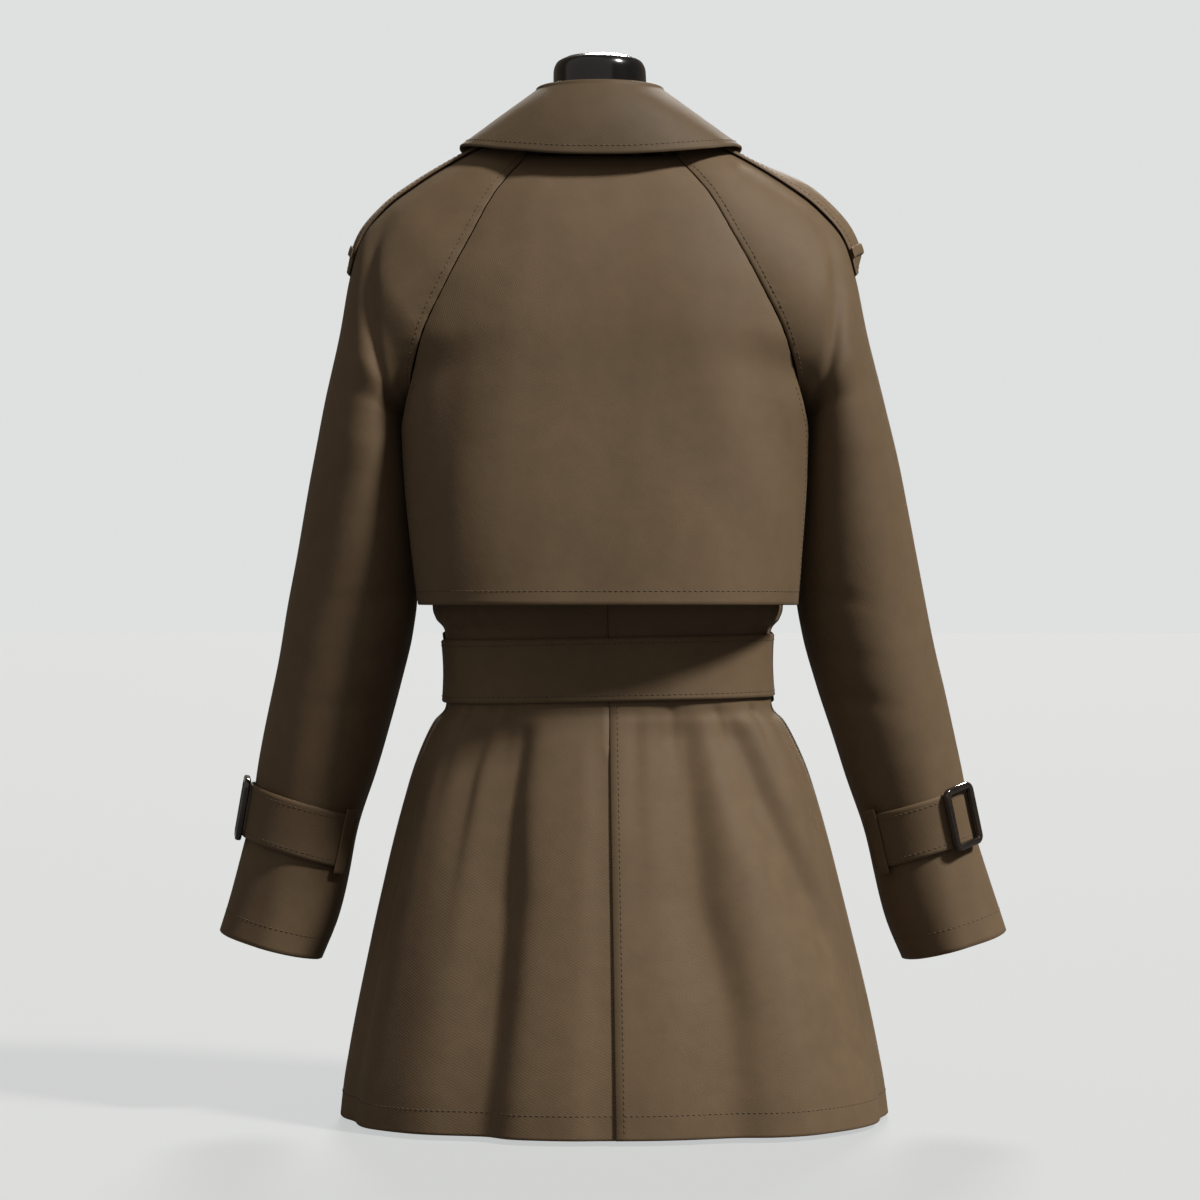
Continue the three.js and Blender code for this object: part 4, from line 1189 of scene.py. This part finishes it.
# ------ dress form
def dress_form():
    count = 120
    table = Table(FORM)
    rows = np.concatenate([rows_between(0, 22, 4)[:-1], rows_between(22, 24, 8)])
    z, half, y_back, y_front = table(rows)
    a = span(0, 2 * math.pi, count, endpoint=False)
    e = 2 / FORM_ROUNDNESS
    depth = np.where(np.cos(a) > 0, y_back[:, None] - AXIS_Y, AXIS_Y - y_front[:, None])
    rings = points_of(half[:, None] * power(np.sin(a), e), AXIS_Y + depth * power(np.cos(a), e), z[:, None])
    n = len(rows)
    vertices = [*rings.reshape(-1, 3), (0, AXIS_Y, 0), (0, AXIS_Y, FORM_TOP)]
    faces = []
    for j in range(count):
        k = (j + 1) % count
        faces += [(i + j, i + k, i + count + k, i + count + j) for i in range(0, (n - 1) * count, count)]
        faces += [(n * count, k, j), (n * count + 1, (n - 1) * count + j, (n - 1) * count + k)]
    piece = new_object("form_shell", placed(vertices), faces, slot="form", sharp=50)
    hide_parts("torso_form")


dress_form()


for hand in HANDS:
    for side, width, length, area in (("back", 0.180, 0.725, 0.100), ("front", 0.174, 0.718, 0.098)):
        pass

# ------ floor, light, camera
CAMERA_DISTANCE = 2.7
CAMERA_X = 0.01185
EYE_LEVEL = 0.408
VIEW_WIDTH = 0.948
SENSOR_WIDTH = 36
BACKDROP = (0.735, 0.750, 0.745)
FLOOR_RADIUS = 40
FLOOR_SIDES = 96
FLOOR_ALBEDO = 0.07
FLOOR_GLOW = 0.722
AMBIENT = (0.118, 0.099, 0.076)


def floor_material():
    """Pale studio floor: it glows a little, as an evenly lit sweep does, and still takes soft shadows."""
    material, tree = tree_of("floor")
    ray = tree.nodes.new("ShaderNodeLightPath").outputs["Is Camera Ray"]
    glow = tree.nodes.new("ShaderNodeMath")
    glow.operation = "MULTIPLY"
    fill_in(glow, {0: ray, 1: FLOOR_GLOW})
    fill_in(tree.nodes["Principled BSDF"], {
        "Emission Color": ramp(tree, noise(tree, 30), (0, shaded(BACKDROP, 0.99)), (1, BACKDROP)),
        "Emission Strength": glow.outputs["Value"],
        "Base Color": (*grey(FLOOR_ALBEDO), 1),
        "Roughness": 0.95,
        "Specular IOR Level": 0.1,
    })
    return material


def floor():
    mesh = bpy.data.meshes.new("floor")
    angles = span(0, 2 * math.pi, FLOOR_SIDES, endpoint=False)
    ring = [(FLOOR_RADIUS * math.cos(a), FLOOR_RADIUS * math.sin(a), 0) for a in angles]
    mesh.from_pydata(ring, [], [tuple(range(FLOOR_SIDES))])
    mesh.materials.append(floor_material())
    add_object("floor", mesh)


floor()


def sun(name, towards, white, softness, colour=(1, 1, 1)):
    """A soft distant light; white is what a white surface that faces it shows."""
    data = bpy.data.lights.new(name, "SUN")
    data.energy = white * math.pi
    data.angle = math.radians(softness)
    data.color = colour
    add_object(name, data).rotation_euler = Vector(towards).to_track_quat("Z", "Y").to_euler()


def direction(azimuth, elevation):
    """Azimuth 0 is straight behind the wearer, 90 at the wearer's right."""
    a, e = math.radians(azimuth), math.radians(elevation)
    return (-math.sin(a) * math.cos(e), math.cos(a) * math.cos(e), math.sin(e))


sun("key", direction(59, 46), 1.76, 9, (1.0, 0.985, 0.93))
sun("fill", direction(-35, 18), 0.25, 120, (1.0, 0.96, 0.92))
sun("front", direction(176, 36), 1.1, 12)


def studio_world():
    """The backdrop shows pale and lights the coat more weakly and warmly than it shows."""
    world = bpy.data.worlds.new("studio")
    bpy.context.scene.world = world
    world.use_nodes = True
    nodes = world.node_tree.nodes
    seen = fill_in(nodes["Background"], {"Color": (*BACKDROP, 1)}).outputs["Background"]
    lighting = fill_in(nodes.new("ShaderNodeBackground"), {"Color": (*AMBIENT, 1)}).outputs["Background"]
    ray = nodes.new("ShaderNodeLightPath").outputs["Is Camera Ray"]
    blend = fill_in(nodes.new("ShaderNodeMixShader"), {"Fac": ray, 1: lighting, 2: seen})
    fill_in(nodes["World Output"], {"Surface": blend.outputs["Shader"]})


studio_world()

camera_data = bpy.data.cameras.new("camera")
camera_data.sensor_width = SENSOR_WIDTH
camera_data.lens = SENSOR_WIDTH * CAMERA_DISTANCE / VIEW_WIDTH
camera_data.clip_end = 100
camera = add_object("camera", camera_data)
camera.location = (CAMERA_X, CAMERA_DISTANCE, EYE_LEVEL)
camera.rotation_euler = (math.pi / 2, 0, math.pi)
bpy.context.scene.camera = camera
bpy.context.scene.view_settings.view_transform = "Standard"

bpy.context.view_layer.update()
